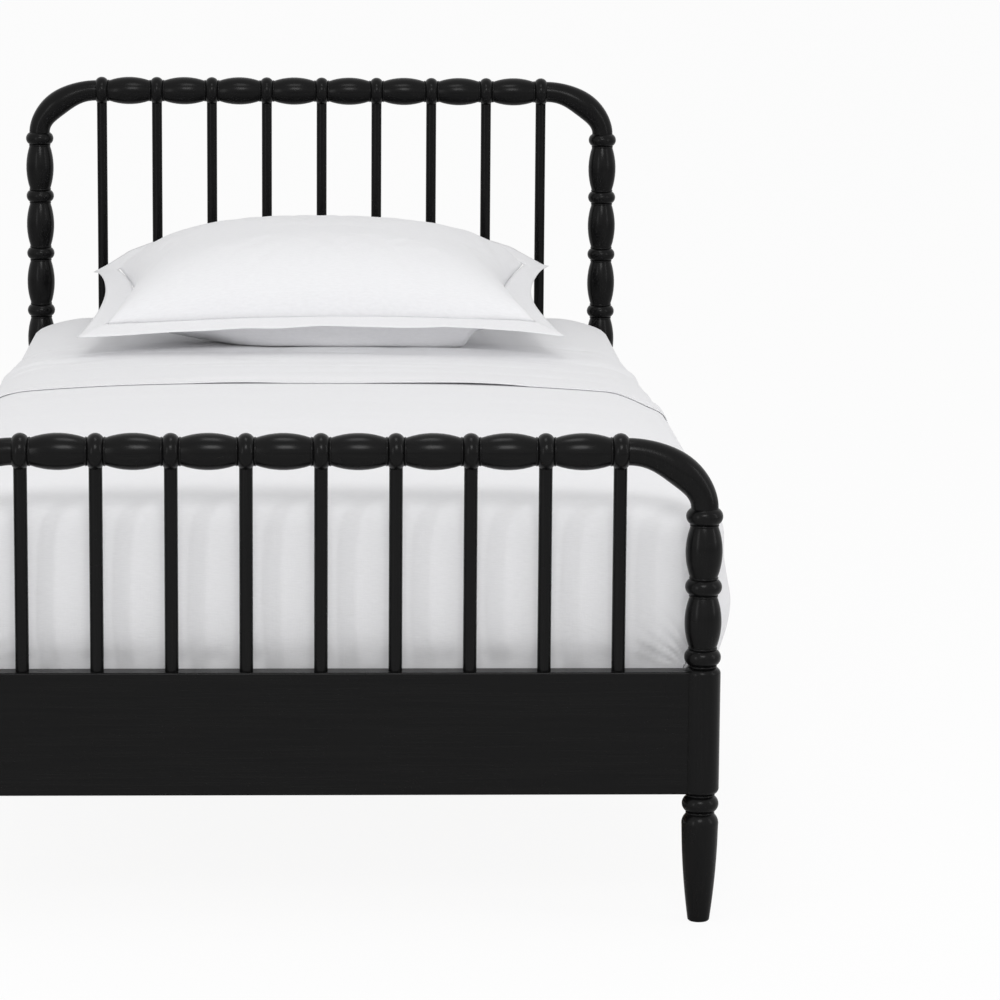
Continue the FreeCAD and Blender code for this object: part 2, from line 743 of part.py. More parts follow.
# ---------------------------------------------------------------- side rails and their plates
rail_plank = rounded_box("SideRailPlank", (side_rail_inner, side_rail_outer),
                         (-side_rail_end, side_rail_end), (board_bottom, board_top),
                         bed.board_edge, "y")
plate_recesses = []
hook_plates = []
slot_plates = []
for board, end in ENDS:
    name = board.capitalize()
    gap = bed.joint_gap
    recess_x = centred(side_rail_middle, bed.plate_width + gap * 2)
    recess_z = centred(board_middle, bed.plate_height + gap * 2)
    plate_x = centred(side_rail_middle, bed.plate_width)
    plate_z = centred(board_middle, bed.plate_height)
    hook_x = centred(side_rail_middle, bed.hook_thickness)
    recess = side_rail_end - bed.plate_thickness - gap
    recess_y = towards(end, recess, side_rail_end + bed.cut_past)
    plate_recesses.append(box(name + "PlateRecess", recess_x, recess_y, recess_z))
    plate_back = post_seat + bed.plate_thickness
    lip = plate_back + gap
    hooks = []
    slots = []
    for number, level in enumerate((-1, 1), start=1):
        neck_low, slot_high = hook_slot(level)
        neck_high = neck_low + bed.hook_neck
        lip_low = neck_high - bed.hook_height
        hooks.append(box(f"{name}HookNeck{number}", hook_x,
                         towards(end, side_rail_end - bed.plate_thickness, lip + bed.hook_lip),
                         (neck_low, neck_high)))
        hooks.append(box(f"{name}HookLip{number}", hook_x, towards(end, lip, lip + bed.hook_lip),
                         (lip_low, neck_high)))
        slots.append(box(f"{name}Slot{number}",
                         centred(side_rail_middle, bed.hook_thickness + bed.hook_play),
                         towards(end, post_seat - bed.cut_past, plate_back + bed.cut_past),
                         (neck_low - gap, slot_high)))
    flat = box(name + "HookPlateFlat", plate_x,
               towards(end, side_rail_end - bed.plate_thickness, side_rail_end), plate_z)
    hook_plates.append(drilled(name + "HookPlate", fuse(name + "Hooks", flat, *hooks)))
    slotted = box(name + "SlotPlateFlat", plate_x, towards(end, post_seat, plate_back), plate_z)
    slotted = cut(name + "SlotPlateSlotted", slotted, fuse(name + "Slots", *slots))
    slot_plates.append(drilled(name + "SlotPlate", slotted))
rail_shaped = cut("SideRailShaped", rail_plank, fuse("PlateRecesses", *plate_recesses))
right_rail = drilled("SideRailRight", rail_shaped)
node(right_rail, "side_rail_right")
node(mirrored("SideRailLeft", right_rail), "side_rail_left")
hook_plates += [mirrored(plate.Name + "Left", plate) for plate in hook_plates]
slot_plates += [mirrored(plate.Name + "Left", plate) for plate in slot_plates]
node(together("RailHookPlates", *hook_plates), "rail_hook_plates")
node(together("PostSlotPlates", *slot_plates), "post_slot_plates")

# ---------------------------------------------------------------- slats, ledgers and centre beam
ledger = box("LedgerBlank", (ledger_inner, side_rail_inner), (-ledger_half, ledger_half),
             (slat_bottom - bed.ledger_height, slat_bottom))
right_ledger = drilled("LedgerRight", ledger)
node(right_ledger, "slat_ledger_right")
node(mirrored("LedgerLeft", right_ledger), "slat_ledger_left")

for number, y in enumerate(slat_places(), start=1):
    plain = box(f"SlatBlank{number}", (-slat_end, slat_end), centred(y, bed.slat_width),
                (slat_bottom, mattress_base))
    node(drilled(f"Slat{number}", plain), f"slat_{number:02d}")

beam_end = hanger_face - bed.joint_gap
beam = box("BeamBlank", centred(ZERO, bed.beam_width), (-beam_end, beam_end),
           (beam_bottom, slat_bottom))
leg_sockets = []
for name, end in (("Head", 1), ("Foot", -1)):
    leg_sockets.append(cylinder(name + "BeamSocket", bed.centre_leg_tenon_radius + bed.joint_gap,
                                beam_bottom - bed.cut_past,
                                beam_bottom + bed.centre_leg_tenon + bed.joint_gap,
                                ZERO, centre_leg_place * end))
beam = cut("BeamBored", beam, fuse("BeamSockets", *leg_sockets))
node(drilled("CentreBeam", beam), "centre_beam")

hangers = []
for name, end in (("Head", 1), ("Foot", -1)):
    back = box(name + "HangerBack", centred(ZERO, bed.hanger_width),
               towards(end, hanger_face, board_face),
               (hanger_bottom, hanger_bottom + bed.hanger_height))
    cradle_width = bed.beam_width + bed.joint_gap * 2
    along = towards(end, hanger_face - bed.hanger_length, hanger_face)
    cradle = box(name + "HangerCradle", centred(ZERO, cradle_width + bed.hanger_sheet * 2), along,
                 (hanger_bottom, hanger_bottom + bed.hanger_height))
    room = box(name + "HangerRoom", centred(ZERO, cradle_width), along,
               (hanger_bottom + bed.hanger_sheet, slat_bottom))
    bracket = fuse(name + "HangerBracket", back, cut(name + "HangerTrough", cradle, room))
    hangers.append(drilled(name + "Hanger", bracket))
node(together("BeamHangers", *hangers), "beam_hangers")

# ---------------------------------------------------------------- centre legs and levelling feet
inserts = []
for number, end in enumerate((1, -1), start=1):
    y = centre_leg_place * end
    bottom = bed.centre_leg_clearance
    name = f"CentreLeg{number}"
    shank = fuse(name + "Whole",
                 cylinder(name + "Shank", bed.centre_leg_radius, bottom, beam_bottom, ZERO, y),
                 cylinder(name + "Tenon", bed.centre_leg_tenon_radius, beam_bottom,
                          beam_bottom + bed.centre_leg_tenon, ZERO, y))
    insert_top = bottom + bed.insert_length
    gap = bed.joint_gap
    hollow = fuse(name + "Hollow",
                  cylinder(name + "InsertHole", bed.insert_radius + gap, bottom - bed.cut_past,
                           insert_top + gap, ZERO, y),
                  cylinder(name + "StemHole", bed.stem_radius + bed.running_gap * 3, bottom,
                           bed.leveller_bore, ZERO, y))
    node(cut(name, shank, hollow), f"centre_leg_{number}")

    outside = fuse(name + "InsertOutside",
                   cylinder(name + "InsertBarrel", bed.insert_radius, bottom, insert_top, ZERO, y),
                   cylinder(name + "InsertFlange", bed.insert_flange_radius,
                            bottom - bed.insert_flange, bottom, ZERO, y))
    thread = cylinder(name + "InsertBore", bed.stem_radius + bed.running_gap,
                      bottom - bed.insert_flange - bed.cut_past, insert_top + bed.cut_past, ZERO, y)
    inserts.append(cut(name + "Insert", outside, thread))

    pad = cylinder(f"LevelPad{number}", bed.pad_radius, ZERO, bed.pad_height, ZERO, y)
    hexagon = doc.addObject("Part::Prism", f"LevelNut{number}")
    hexagon.Polygon = 6
    bind(hexagon, Circumradius=bed.nut_radius, Height=bed.nut_height)
    place(hexagon, ZERO, y, bed.pad_height)
    stem_bottom = bed.pad_height + bed.nut_height
    stem = cylinder(f"LevelStem{number}", bed.stem_radius, stem_bottom,
                    stem_bottom + bed.stem_length, ZERO, y)
    node(fuse(f"LevellingFoot{number}", pad, hexagon, stem), f"levelling_foot_{number}")
node(together("LegInserts", *inserts), "leg_inserts")

screws = doc.addObject("Part::Feature", "WoodScrews")
screws.Shape = Part.makeCompound([screw_solid(point, way) for point, way in SCREWS])
node(screws, "wood_screws")
print("stage: side rails, slats, beam and screws")

# ---------------------------------------------------------------- mattress
mattress_x = centred(ZERO, bed.mattress_width)
mattress = soft_block("Mattress", mattress_x, (mattress_foot, mattress_head),
                      (mattress_base, mattress_top), bed.mattress_corner, bed.mattress_edge)
node(mattress, "mattress")


# ---------------------------------------------------------------- bedspread and turned-back sheet
def filled(*edges):
    return Part.Face(Part.Wire(list(edges)))


def arc(start, through, end):
    return Part.Arc(start, through, end).toShape()


def line(start, end):
    return Part.LineSegment(start, end).toShape()


def side_fullness(y):
    """Share of the sides' swelling at one place along the bed, less towards the head."""
    straight_end = (spread_front + bed.spread_straight).value
    share = max(0, y - straight_end) / (fold_place.value - straight_end)
    return 1 - (1 - bed.spread_fold_fullness.value) * share


def spread_section(y, grow):
    """Across the bed: flat hem on the side rails, swollen sides and a crowned top."""
    low = spread_low.value
    fullness = side_fullness(y)
    top = spread_edge_top.value + grow
    crown = top + bed.spread_crown.value
    edge = (mattress_side - bed.spread_edge_inset).value
    hem = mattress_side.value + bed.spread_hem.value * fullness + grow
    bulge = mattress_side.value + bed.spread_bulge.value * fullness + grow
    shoulder = mattress_side.value + bed.spread_shoulder.value * fullness + grow
    shoulder_height = top - bed.spread_shoulder_drop.value
    side_middle = (low + shoulder_height) / 2
    slope = math.sqrt(0.5)
    half = [
        (hem, low),
        (bulge, side_middle),
        (shoulder, shoulder_height),
        (edge + (shoulder - edge) * slope, shoulder_height + (top - shoulder_height) * slope),
        (edge, top),
    ]
    right = [Vector(x, y, z) for x, z in half]
    left = [Vector(-x, y, z) for x, z in half]
    return Part.Wire([
        line(left[0], right[0]),
        arc(right[0], right[1], right[2]),
        arc(right[2], right[3], right[4]),
        arc(right[4], Vector(0, y, crown), left[4]),
        arc(left[4], left[3], left[2]),
        arc(left[2], left[1], left[0]),
    ])


def spread_side_view(front, back, grow):
    """Along the bed: an upright foot end that swells a little, with a rounded top edge."""
    low = spread_low.value
    level = spread_edge_top.value + bed.spread_crown.value + grow
    top = level + bed.cut_past.value
    round_off = bed.spread_foot_round.value
    shoulder = level - bed.spread_foot_drop.value
    swell = bed.spread_foot_swell.value
    lean = bed.spread_foot_lean.value
    return filled(
        line(Vector(0, back, low), Vector(0, front + swell, low)),
        arc(Vector(0, front + swell, low), Vector(0, front, (low + shoulder) / 2),
            Vector(0, front + swell, shoulder)),
        arc(Vector(0, front + swell, shoulder), Vector(0, front + swell + lean, level - lean),
            Vector(0, front + round_off + swell, level)),
        line(Vector(0, front + round_off + swell, level), Vector(0, front + round_off * 2, top)),
        line(Vector(0, front + round_off * 2, top), Vector(0, back, top)),
        line(Vector(0, back, top), Vector(0, back, low)),
    )


def spread_plan(front, back, grow):
    """From above: straight sides with rounded corners at the foot."""
    wide = (mattress_side + bed.spread_bulge + bed.cut_past).value + grow
    corner = bed.spread_corner.value
    inset = corner * (1 - math.sqrt(0.5))
    low = spread_low.value
    right = [Vector(wide, back, low), Vector(wide, front + corner, low),
             Vector(wide - inset, front + inset, low), Vector(wide - corner, front, low)]
    left = [Vector(-point.x, point.y, point.z) for point in right]
    return filled(
        line(left[0], left[1]),
        arc(left[1], left[2], left[3]),
        line(left[3], right[3]),
        arc(right[3], right[2], right[1]),
        line(right[1], right[0]),
        line(right[0], left[0]),
    )


def spread_form(front, back, grow):
    """The bedding's outer form between two places along the bed."""
    height = (spread_edge_top + bed.spread_crown + bed.cut_past * 2 - spread_low).value + grow
    wide = (mattress_side + bed.spread_bulge + bed.cut_past).value + grow
    foot, fold = spread_front.value, fold_place.value
    straight_end = (spread_front + bed.spread_straight).value
    places = (foot, straight_end, fold)
    across = Part.makeLoft([spread_section(y, grow) for y in places], True, True)
    if front > foot:
        span = Part.makeBox(wide * 2, back - front, height, Vector(-wide, front, spread_low.value))
        return across.common(span)
    side = spread_side_view(front, back, grow)
    side.translate(Vector(-wide, 0, 0))
    plan = spread_plan(front, back, grow)
    rounded = side.extrude(Vector(wide * 2, 0, 0)).common(plan.extrude(Vector(0, 0, height)))
    return across.common(rounded)


air = bed.spread_air
room = soft_block("SpreadRoom",
                  centred(ZERO, bed.mattress_width + air * 2),
                  (mattress_foot - air, mattress_head),
                  (mattress_base, mattress_top + air),
                  bed.mattress_corner, bed.mattress_edge)
outside = doc.addObject("Part::Feature", "SpreadOutside")
outside.Shape = spread_form(spread_front.value, fold_place.value, 0)
foot_reach = bed.mattress_width / 2 - bed.mattress_corner
foot_end = box("SpreadFootEnd", (-foot_reach, foot_reach),
               (spread_front + bed.spread_foot_swell, mattress_foot - air),
               (spread_low - bed.spread_foot_tuck, spread_low + bed.cut_past))
whole = fuse("SpreadWhole", outside, foot_end)
node(cut("Bedspread", whole, room), "bedspread")

outer_cuff = spread_form(cuff_front.value, fold_place.value,
                         bed.rest_gap.value + bed.cuff_thickness.value)
inner_cuff = spread_form(cuff_front.value, fold_place.value, bed.rest_gap.value)
cuff = doc.addObject("Part::Feature", "TurnedBackSheet")
cuff.Shape = outer_cuff.cut(inner_cuff)
node(cuff, "turned_back_sheet")


# ---------------------------------------------------------------- pillow
def pillow_swelling(y):
    """Height of the crown and depth of the belly at one place along the pillow's depth."""
    swollen_depth = (bed.pillow_depth / 2 - bed.pillow_flange).value
    share = max(0, 1 - (y / swollen_depth) ** 2)
    flat = bed.pillow_hem.value / 2 + bed.pillow_trace.value
    crown = flat + (bed.pillow_crown.value - flat) * share ** 0.7
    belly = flat + (bed.pillow_belly.value - flat) * share
    return crown, belly


def pillow_bulge(side, swollen, y, hem, height):
    """Three arcs across one swollen face, full in the middle and steep towards the flat edge."""
    def point(share):
        fullness = (1 - abs(share) ** 3) ** 0.6
        return Vector(swollen * share, y, side * (hem + (height - hem) * fullness))

    shares = (-1, -0.87, -0.6, 0, 0.6, 0.87, 1)
    across = [point(share * side) for share in shares]
    return [arc(*across[0:3]), arc(*across[2:5]), arc(*across[4:7])]


def pillow_section(y):
    """One slice across the pillow: a flat edge at each end and a swollen middle."""
    inward = 1 - (2 * y / bed.pillow_depth.value) ** 2
    reach = bed.pillow_width.value / 2 - bed.pillow_waist.value * inward
    swollen = reach - bed.pillow_flange.value
    hem = bed.pillow_hem.value / 2
    crown, belly = pillow_swelling(y)
    upper = [Vector(x, y, hem) for x in (-reach, -swollen, swollen, reach)]
    lower = [Vector(x, y, -hem) for x in (reach, swollen, -swollen, -reach)]
    return Part.Wire([
        line(upper[0], upper[1]),
        *pillow_bulge(1, swollen, y, hem, crown),
        line(upper[2], upper[3]),
        line(upper[3], lower[0]),
        line(lower[0], lower[1]),
        *pillow_bulge(-1, swollen, y, hem, belly),
        line(lower[2], lower[3]),
        line(lower[3], upper[0]),
    ])


def pillow_height():
    """Floor to the middle of the flat edge, the belly resting on the turned-back sheet's fold."""
    tilt = math.radians(bed.pillow_tilt.value)
    support = (spread_edge_top + bed.spread_crown + bed.cuff_thickness + bed.rest_gap * 2).value
    behind_fold = (fold_place - pillow_middle).value
    swollen_depth = (bed.pillow_depth / 2 - bed.pillow_flange).value
    steps = 400
    heights = []
    for step in range(steps + 1):
        y = swollen_depth * (2 * step / steps - 1)
        _, belly = pillow_swelling(y)
        if y * math.cos(tilt) + belly * math.sin(tilt) <= behind_fold:
            heights.append(support - y * math.sin(tilt) + belly * math.cos(tilt))
    return max(heights)


half_depth = bed.pillow_depth.value / 2
swollen_depth = half_depth - bed.pillow_flange.value
slices = 22
pillow_slices = [-half_depth]
for index in range(slices + 1):
    pillow_slices.append(-swollen_depth * math.cos(math.pi * index / slices))
pillow_slices.append(half_depth)
pillow = doc.addObject("Part::Feature", "Pillow")
pillow.Shape = Part.makeLoft([pillow_section(y) for y in pillow_slices], True, True)
pillow.Placement = FreeCAD.Placement(
    Vector(0, pillow_middle.value, pillow_height()),
    FreeCAD.Rotation(Vector(1, 0, 0), bed.pillow_tilt.value))
node(pillow, "pillow")
print("stage: bedding")

# ---------------------------------------------------------------- checks and files
doc.recompute()
for thing in doc.Objects:
    if any(word in thing.State for word in ("Invalid", "Error")):
        raise RuntimeError(f"{thing.Name} failed to build: {thing.State}")
os.makedirs("parts", exist_ok=True)
for piece in nodes:
    if piece.Shape.isNull() or not piece.Shape.isValid():
        raise RuntimeError(f"{piece.Label} is not a valid shape")
    if not piece.Shape.Solids:
        raise RuntimeError(f"{piece.Label} holds no solid")
    piece.Shape.exportStep(f"parts/{piece.Label}.step")
    print(f"{piece.Label}: {len(piece.Shape.Solids)} solids, {piece.Shape.Volume / 1000:.1f} cm3")
print(f"pieces: {len(nodes)} files")
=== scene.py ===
import math

import bpy
import numpy as np
from mathutils import Matrix, Vector


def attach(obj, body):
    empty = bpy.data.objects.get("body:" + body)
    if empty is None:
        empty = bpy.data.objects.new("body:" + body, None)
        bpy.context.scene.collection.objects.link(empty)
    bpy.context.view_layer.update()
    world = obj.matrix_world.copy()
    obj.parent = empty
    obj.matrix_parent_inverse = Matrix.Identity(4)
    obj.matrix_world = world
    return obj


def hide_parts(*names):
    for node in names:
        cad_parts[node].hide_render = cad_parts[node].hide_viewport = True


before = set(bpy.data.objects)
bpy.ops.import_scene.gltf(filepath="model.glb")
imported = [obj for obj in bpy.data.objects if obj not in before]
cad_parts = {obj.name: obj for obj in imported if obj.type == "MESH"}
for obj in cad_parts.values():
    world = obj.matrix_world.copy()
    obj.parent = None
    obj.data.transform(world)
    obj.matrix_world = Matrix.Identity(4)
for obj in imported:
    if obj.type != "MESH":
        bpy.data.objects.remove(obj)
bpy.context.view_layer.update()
print("stage: frame loaded")


# Quads between neighbouring points of a grid. Wrapping joins the last row or column to the first.
def gridQuads(rows, columns, wrapRows=False, wrapColumns=False):
    row = np.arange(rows if wrapRows else rows - 1)[:, None]
    column = np.arange(columns if wrapColumns else columns - 1)[None, :]
    nextRow, nextColumn = (row + 1) % rows, (column + 1) % columns
    corners = (row * columns + column, row * columns + nextColumn,
               nextRow * columns + nextColumn, nextRow * columns + column)
    return np.stack([corner + 0 * row + 0 * column for corner in corners], axis=-1).reshape(-1, 4)


def addObject(name, data):
    added = bpy.data.objects.new(name, data)
    bpy.context.scene.collection.objects.link(added)
    return added


def makePiece(name, points, quads, material, clothPlaces=None):
    mesh = bpy.data.meshes.new(name)
    mesh.from_pydata(points.reshape(-1, 3).tolist(), [], quads.tolist())
    mesh.polygons.foreach_set("use_smooth", np.ones(len(quads), dtype=bool))
    if clothPlaces is not None:                      # the piece's own flat places, in metres
        layer = mesh.uv_layers.new(name="cloth")
        layer.data.foreach_set("uv", clothPlaces.reshape(-1, 2)[quads.ravel()].ravel())
    mesh.materials.append(material)
    mesh.update()
    piece = addObject(name, mesh)
    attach(piece, "bed")
    return piece


def thicken(piece, thickness):
    wall = piece.modifiers.new("thickness", "SOLIDIFY")
    wall.thickness = thickness
    wall.offset = -1                                 # inwards, so the outside keeps its size
    wall.use_even_offset = False


# Smooth noise from -1 to 1: seeded values on a lattice, joined by cubic B-splines, so it has no creases.
def softNoise(x, y, seed):
    cells, gain = 97, 1.6                            # the bare sum stays well inside -1 to 1
    lattice = np.random.default_rng(seed).uniform(-1, 1, (cells, cells))
    x, y = np.broadcast_arrays(x, y)
    total = np.zeros(x.shape)
    cellX, cellY = np.floor(x).astype(int), np.floor(y).astype(int)
    weightsX, weightsY = splineWeights(x - cellX), splineWeights(y - cellY)
    for i in range(4):
        for j in range(4):
            total += weightsX[i] * weightsY[j] * lattice[(cellX + i) % cells, (cellY + j) % cells]
    return total * gain


def splineWeights(t):
    return ((1 - t) ** 3 / 6, (3 * t**3 - 6 * t**2 + 4) / 6,
            (-3 * t**3 + 3 * t**2 + 3 * t + 1) / 6, t**3 / 6)


def smoothStep(low, high, value):
    t = np.clip((value - low) / (high - low), 0, 1)
    return t * t * (3 - 2 * t)


# Soft noise in waves of a given size each way, measured along x and y, and of a given height.
def waves(kind, x, y, seed):
    sizeX, sizeY, height = kind
    return softNoise(x / sizeX, y / sizeY, seed) * height


# A bell curve: 1 at the middle, falling to 0.37 at the width.
def bell(value, middle, width):
    return np.exp(-((value - middle) / width) ** 2)


# Places from low to high, about a step apart, with both ends on them.
def evenly(low, high, step):
    return np.linspace(low, high, max(2, round((high - low) / step) + 1))


# A curve through the given points (Catmull-Rom), as places spaced evenly along its length.
def evenCurve(points, count=400):
    points = np.asarray(points, float)
    ends = np.vstack([2 * points[0] - points[1], points, 2 * points[-1] - points[-2]])
    t = np.linspace(0, len(points) - 1, count * 4)
    k = np.minimum(t.astype(int), len(points) - 2)
    s = (t - k)[:, None]
    a, b, c, d = ends[k], ends[k + 1], ends[k + 2], ends[k + 3]
    curve = 0.5 * (2 * b + (c - a) * s + (2 * a - 5 * b + 4 * c - d) * s**2 + (3 * b - a - 3 * c + d) * s**3)
    steps = np.concatenate([[0], np.cumsum(np.linalg.norm(np.diff(curve, axis=0), axis=1))])
    even = np.linspace(0, steps[-1], count)
    return np.stack([np.interp(even, steps, curve[:, i]) for i in range(curve.shape[1])], axis=1), steps[-1]


# Unit normals of a grid: the cross product of its two directions.
def gridNormals(points):
    normals = np.cross(np.gradient(points, axis=1), np.gradient(points, axis=0))
    return normals / np.maximum(np.linalg.norm(normals, axis=-1, keepdims=True), 1e-12)


# Cloth over a rounded block. Its flat middle keeps its place. Past an edge of the middle, a point goes out and
# down a profile by its share of the way to the hem: straight out beside an edge, fanned round a corner, where the
# share is the larger of the two and the turn, from 0 at the side to a quarter circle at the end, follows their
# ratio. The side profile times the turn's cosine gives the way across, and the end profile times its sine the way
# along. Their heights blend by the sine's square. dip lowers the middle, and fades out down the ends.
def overBlock(u, v, middle, sideProfile, endProfile, dip=0):
    (sideCurve, sideLength), (endCurve, endLength) = sideProfile, endProfile
    halfWidth, foot, head = middle["halfWidth"], middle["foot"], middle["head"]
    pastSide = np.maximum(np.abs(u) - halfWidth, 0) / sideLength
    pastEnd = np.maximum(np.maximum(foot - v, v - head), 0) / endLength
    share, least = np.maximum(pastSide, pastEnd), np.minimum(pastSide, pastEnd)
    ratio = least / np.maximum(share, 1e-9)
    turn = np.where(share > 0, np.where(pastSide >= pastEnd, ratio, 2 - ratio) * math.pi / 4, 0)
    side, end = (curveAt(share, curve) for curve in (sideCurve, endCurve))
    x = np.clip(u, -halfWidth, halfWidth) + np.sign(u) * side[0] * np.cos(turn) ** middle["squareness"]
    y = np.clip(v, foot, head) + np.sign(v) * end[0] * np.sin(turn) ** middle["squareness"]
    blend = np.sin(turn) ** 2
    top, hem = endCurve[0, 1], endCurve[-1, 1]
    endHeight = end[1] - dip * (end[1] - hem) / (top - hem)
    sideHeight = np.where(pastSide > 0, side[1], top - dip)
    return np.stack([x, y, sideHeight * (1 - blend) + endHeight * blend], axis=-1), share, turn


# The two coordinates of an even curve at a share of its length.
def curveAt(share, curve):
    return [np.interp(share, np.linspace(0, 1, len(curve)), curve[:, i]) for i in range(2)]


def newMaterial(name):
    material = bpy.data.materials.new(name)
    material.use_nodes = True
    return material, material.node_tree.nodes["Principled BSDF"]


def addNode(material, kind, inputs, **settings):
    node = material.node_tree.nodes.new(kind)
    for key, value in settings.items():
        setattr(node, key, value)
    setInputs(material, node, inputs)
    return node


def setInputs(material, node, inputs):
    for key, value in inputs.items():
        if isinstance(value, bpy.types.NodeSocket):
            material.node_tree.links.new(value, node.inputs[key])
        else:
            node.inputs[key].default_value = value


def objectPlaces(material, scale):
    places = addNode(material, "ShaderNodeTexCoord", {})
    return addNode(material, "ShaderNodeMapping", {"Vector": places.outputs["Object"], "Scale": scale}).outputs[0]


def clothPlacesOf(material, scale):
    places = addNode(material, "ShaderNodeUVMap", {}, uv_map="cloth")
    return addNode(material, "ShaderNodeMapping", {"Vector": places.outputs[0], "Scale": scale}).outputs[0]


def addNoise(material, places, scale=1, detail=2, roughness=0.5, distortion=0):
    return addNode(material, "ShaderNodeTexNoise", {"Vector": places, "Scale": scale, "Detail": detail,
                                                    "Roughness": roughness, "Distortion": distortion}).outputs["Fac"]


def addMath(material, operation, first, second):
    return addNode(material, "ShaderNodeMath", {0: first, 1: second}, operation=operation).outputs[0]


def addBump(material, height, strength, distance, **below):
    return addNode(material, "ShaderNodeBump", {"Height": height, "Strength": strength, "Distance": distance,
                                                **below}).outputs[0]


# The middle of a noise's range, stretched to go from low to high.
def spread(material, value, low, high):
    return addNode(material, "ShaderNodeMapRange", {"Value": value, "From Min": 0.3, "From Max": 0.7,
                                                    "To Min": low, "To Max": high}).outputs[0]


# From a look's dark tone to its light one.
def twoTones(material, factor, look):
    ramp = addNode(material, "ShaderNodeValToRGB", {"Fac": factor})
    for element, place, tone in zip(ramp.color_ramp.elements, (0.3, 0.7), (look["dark"], look["light"])):
        element.position, element.color = place, tone
    return ramp.outputs["Color"]


paint = {
    "dark": (0.0022, 0.0022, 0.0024, 1),
    "light": (0.0042, 0.0041, 0.0041, 1),
    "specular": 0.05,
    "roughness": (0.22, 0.30),
    "coat": 0.16,
    "coatRoughness": 0.22,
    "grainAcross": 260,                              # per metre
    "grainAlong": 7,
    "grainDepth": 0.00028,
    "peelScale": 900,
    "peelDepth": 0.00003,
}


# Satin black paint that shows the wood under it: fine streaks along the grain and a faint brushed texture.
def makePaint(name, along):
    material, shader = newMaterial(name)
    scale = [paint["grainAcross"]] * 3
    scale[along] = paint["grainAlong"]
    places = objectPlaces(material, scale)
    grain = addNoise(material, places, detail=5, roughness=0.62)
    pores = addNoise(material, places, scale=3.1)
    cloud = addNoise(material, objectPlaces(material, (9, 9, 9)), detail=3)
    peel = addNoise(material, objectPlaces(material, (1, 1, 1)), scale=paint["peelScale"], detail=1)
    grained = addBump(material, addMath(material, "MULTIPLY", grain, pores), 0.5, paint["grainDepth"])
    setInputs(material, shader, {
        "Base Color": twoTones(material, grain, paint),
        "Roughness": spread(material, cloud, *paint["roughness"]),
        "Specular IOR Level": paint["specular"],
        "Coat Weight": paint["coat"],
        "Coat Roughness": paint["coatRoughness"],
        "Normal": addBump(material, peel, 0.5, paint["peelDepth"], Normal=grained),
    })
    return material


timber = {
    "dark": (0.42, 0.27, 0.15, 1),
    "light": (0.63, 0.45, 0.28, 1),
    "grainAcross": 120,
    "grainAlong": 4,
    "roughness": (0.48, 0.62),
    "depth": 0.0003,
}


# Plain sanded wood: long streaks along the grain, finer pores among them and slow changes of tone.
def makeTimber(name, along):
    material, shader = newMaterial(name)
    scale = [timber["grainAcross"]] * 3
    scale[along] = timber["grainAlong"]
    places = objectPlaces(material, scale)
    streaks = addNoise(material, places, scale=0.5, detail=7, roughness=0.6, distortion=0.6)
    pores = addNoise(material, places, scale=4, detail=3)
    setInputs(material, shader, {
        "Base Color": twoTones(material, streaks, timber),
        "Roughness": spread(material, pores, *timber["roughness"]),
        "Normal": addBump(material, pores, 0.4, timber["depth"]),
    })
    return material


metal = {"dark": (0.42, 0.42, 0.42, 1), "light": (0.60, 0.60, 0.59, 1), "roughness": (0.28, 0.46)}
nylon = {"dark": (0.010, 0.010, 0.011, 1), "light": (0.018, 0.018, 0.019, 1), "roughness": (0.45, 0.6),
         "top": 0.008}


def makeSteel(name):
    material, shader = newMaterial(name)
    spangle = addNode(material, "ShaderNodeTexVoronoi", {"Vector": objectPlaces(material, (420, 420, 420)),
                                                         "Scale": 1}).outputs["Color"]
    marks = addNoise(material, objectPlaces(material, (90, 90, 90)), detail=4)
    tone = addNode(material, "ShaderNodeMix", {0: 0.3, 6: twoTones(material, marks, metal),
                                               7: spangle}, data_type="RGBA", blend_type="SOFT_LIGHT")
    setInputs(material, shader, {
        "Base Color": tone.outputs[2],
        "Metallic": 1.0,
        "Roughness": spread(material, marks, *metal["roughness"]),
    })
    return material


# The levelling foot: nylon up to the top of its pad, zinc plated steel above it.
def makeLevellerFinish(name):
    material, shader = newMaterial(name)
    marks = addNoise(material, objectPlaces(material, (150, 150, 150)), detail=3)
    places = addNode(material, "ShaderNodeTexCoord", {})
    height = addNode(material, "ShaderNodeSeparateXYZ", {0: places.outputs["Object"]}).outputs["Z"]
    above = addMath(material, "GREATER_THAN", height, nylon["top"])
    tone = addNode(material, "ShaderNodeMix", {0: above, 6: twoTones(material, marks, nylon),
                                               7: twoTones(material, marks, metal)},
                   data_type="RGBA")
    rough = addNode(material, "ShaderNodeMix", {0: above, 2: spread(material, marks, *nylon["roughness"]),
                                                3: spread(material, marks, *metal["roughness"])},
                    data_type="FLOAT")
    setInputs(material, shader, {"Base Color": tone.outputs[2], "Metallic": above, "Roughness": rough.outputs[0]})
    return material


cotton = {
    "dark": (0.80, 0.80, 0.815, 1),
    "light": (0.84, 0.84, 0.855, 1),
    "threads": 1100,                                 # per metre
    "threadDepth": 0.00006,
    "slubDepth": 0.00022,
    "slubs": ((90, 700, 1), (700, 90, 1)),           # per metre, for the threads each way
    "creasing": (26, 60, 1),
    "creaseDepth": 0.0012,
    "roughness": (0.78, 0.9),
    "sheen": 0.12,
    "sheenRoughness": 0.5,
}
ticking = {**cotton, "dark": (0.62, 0.60, 0.56, 1), "light": (0.74, 0.72, 0.68, 1), "threads": 420}


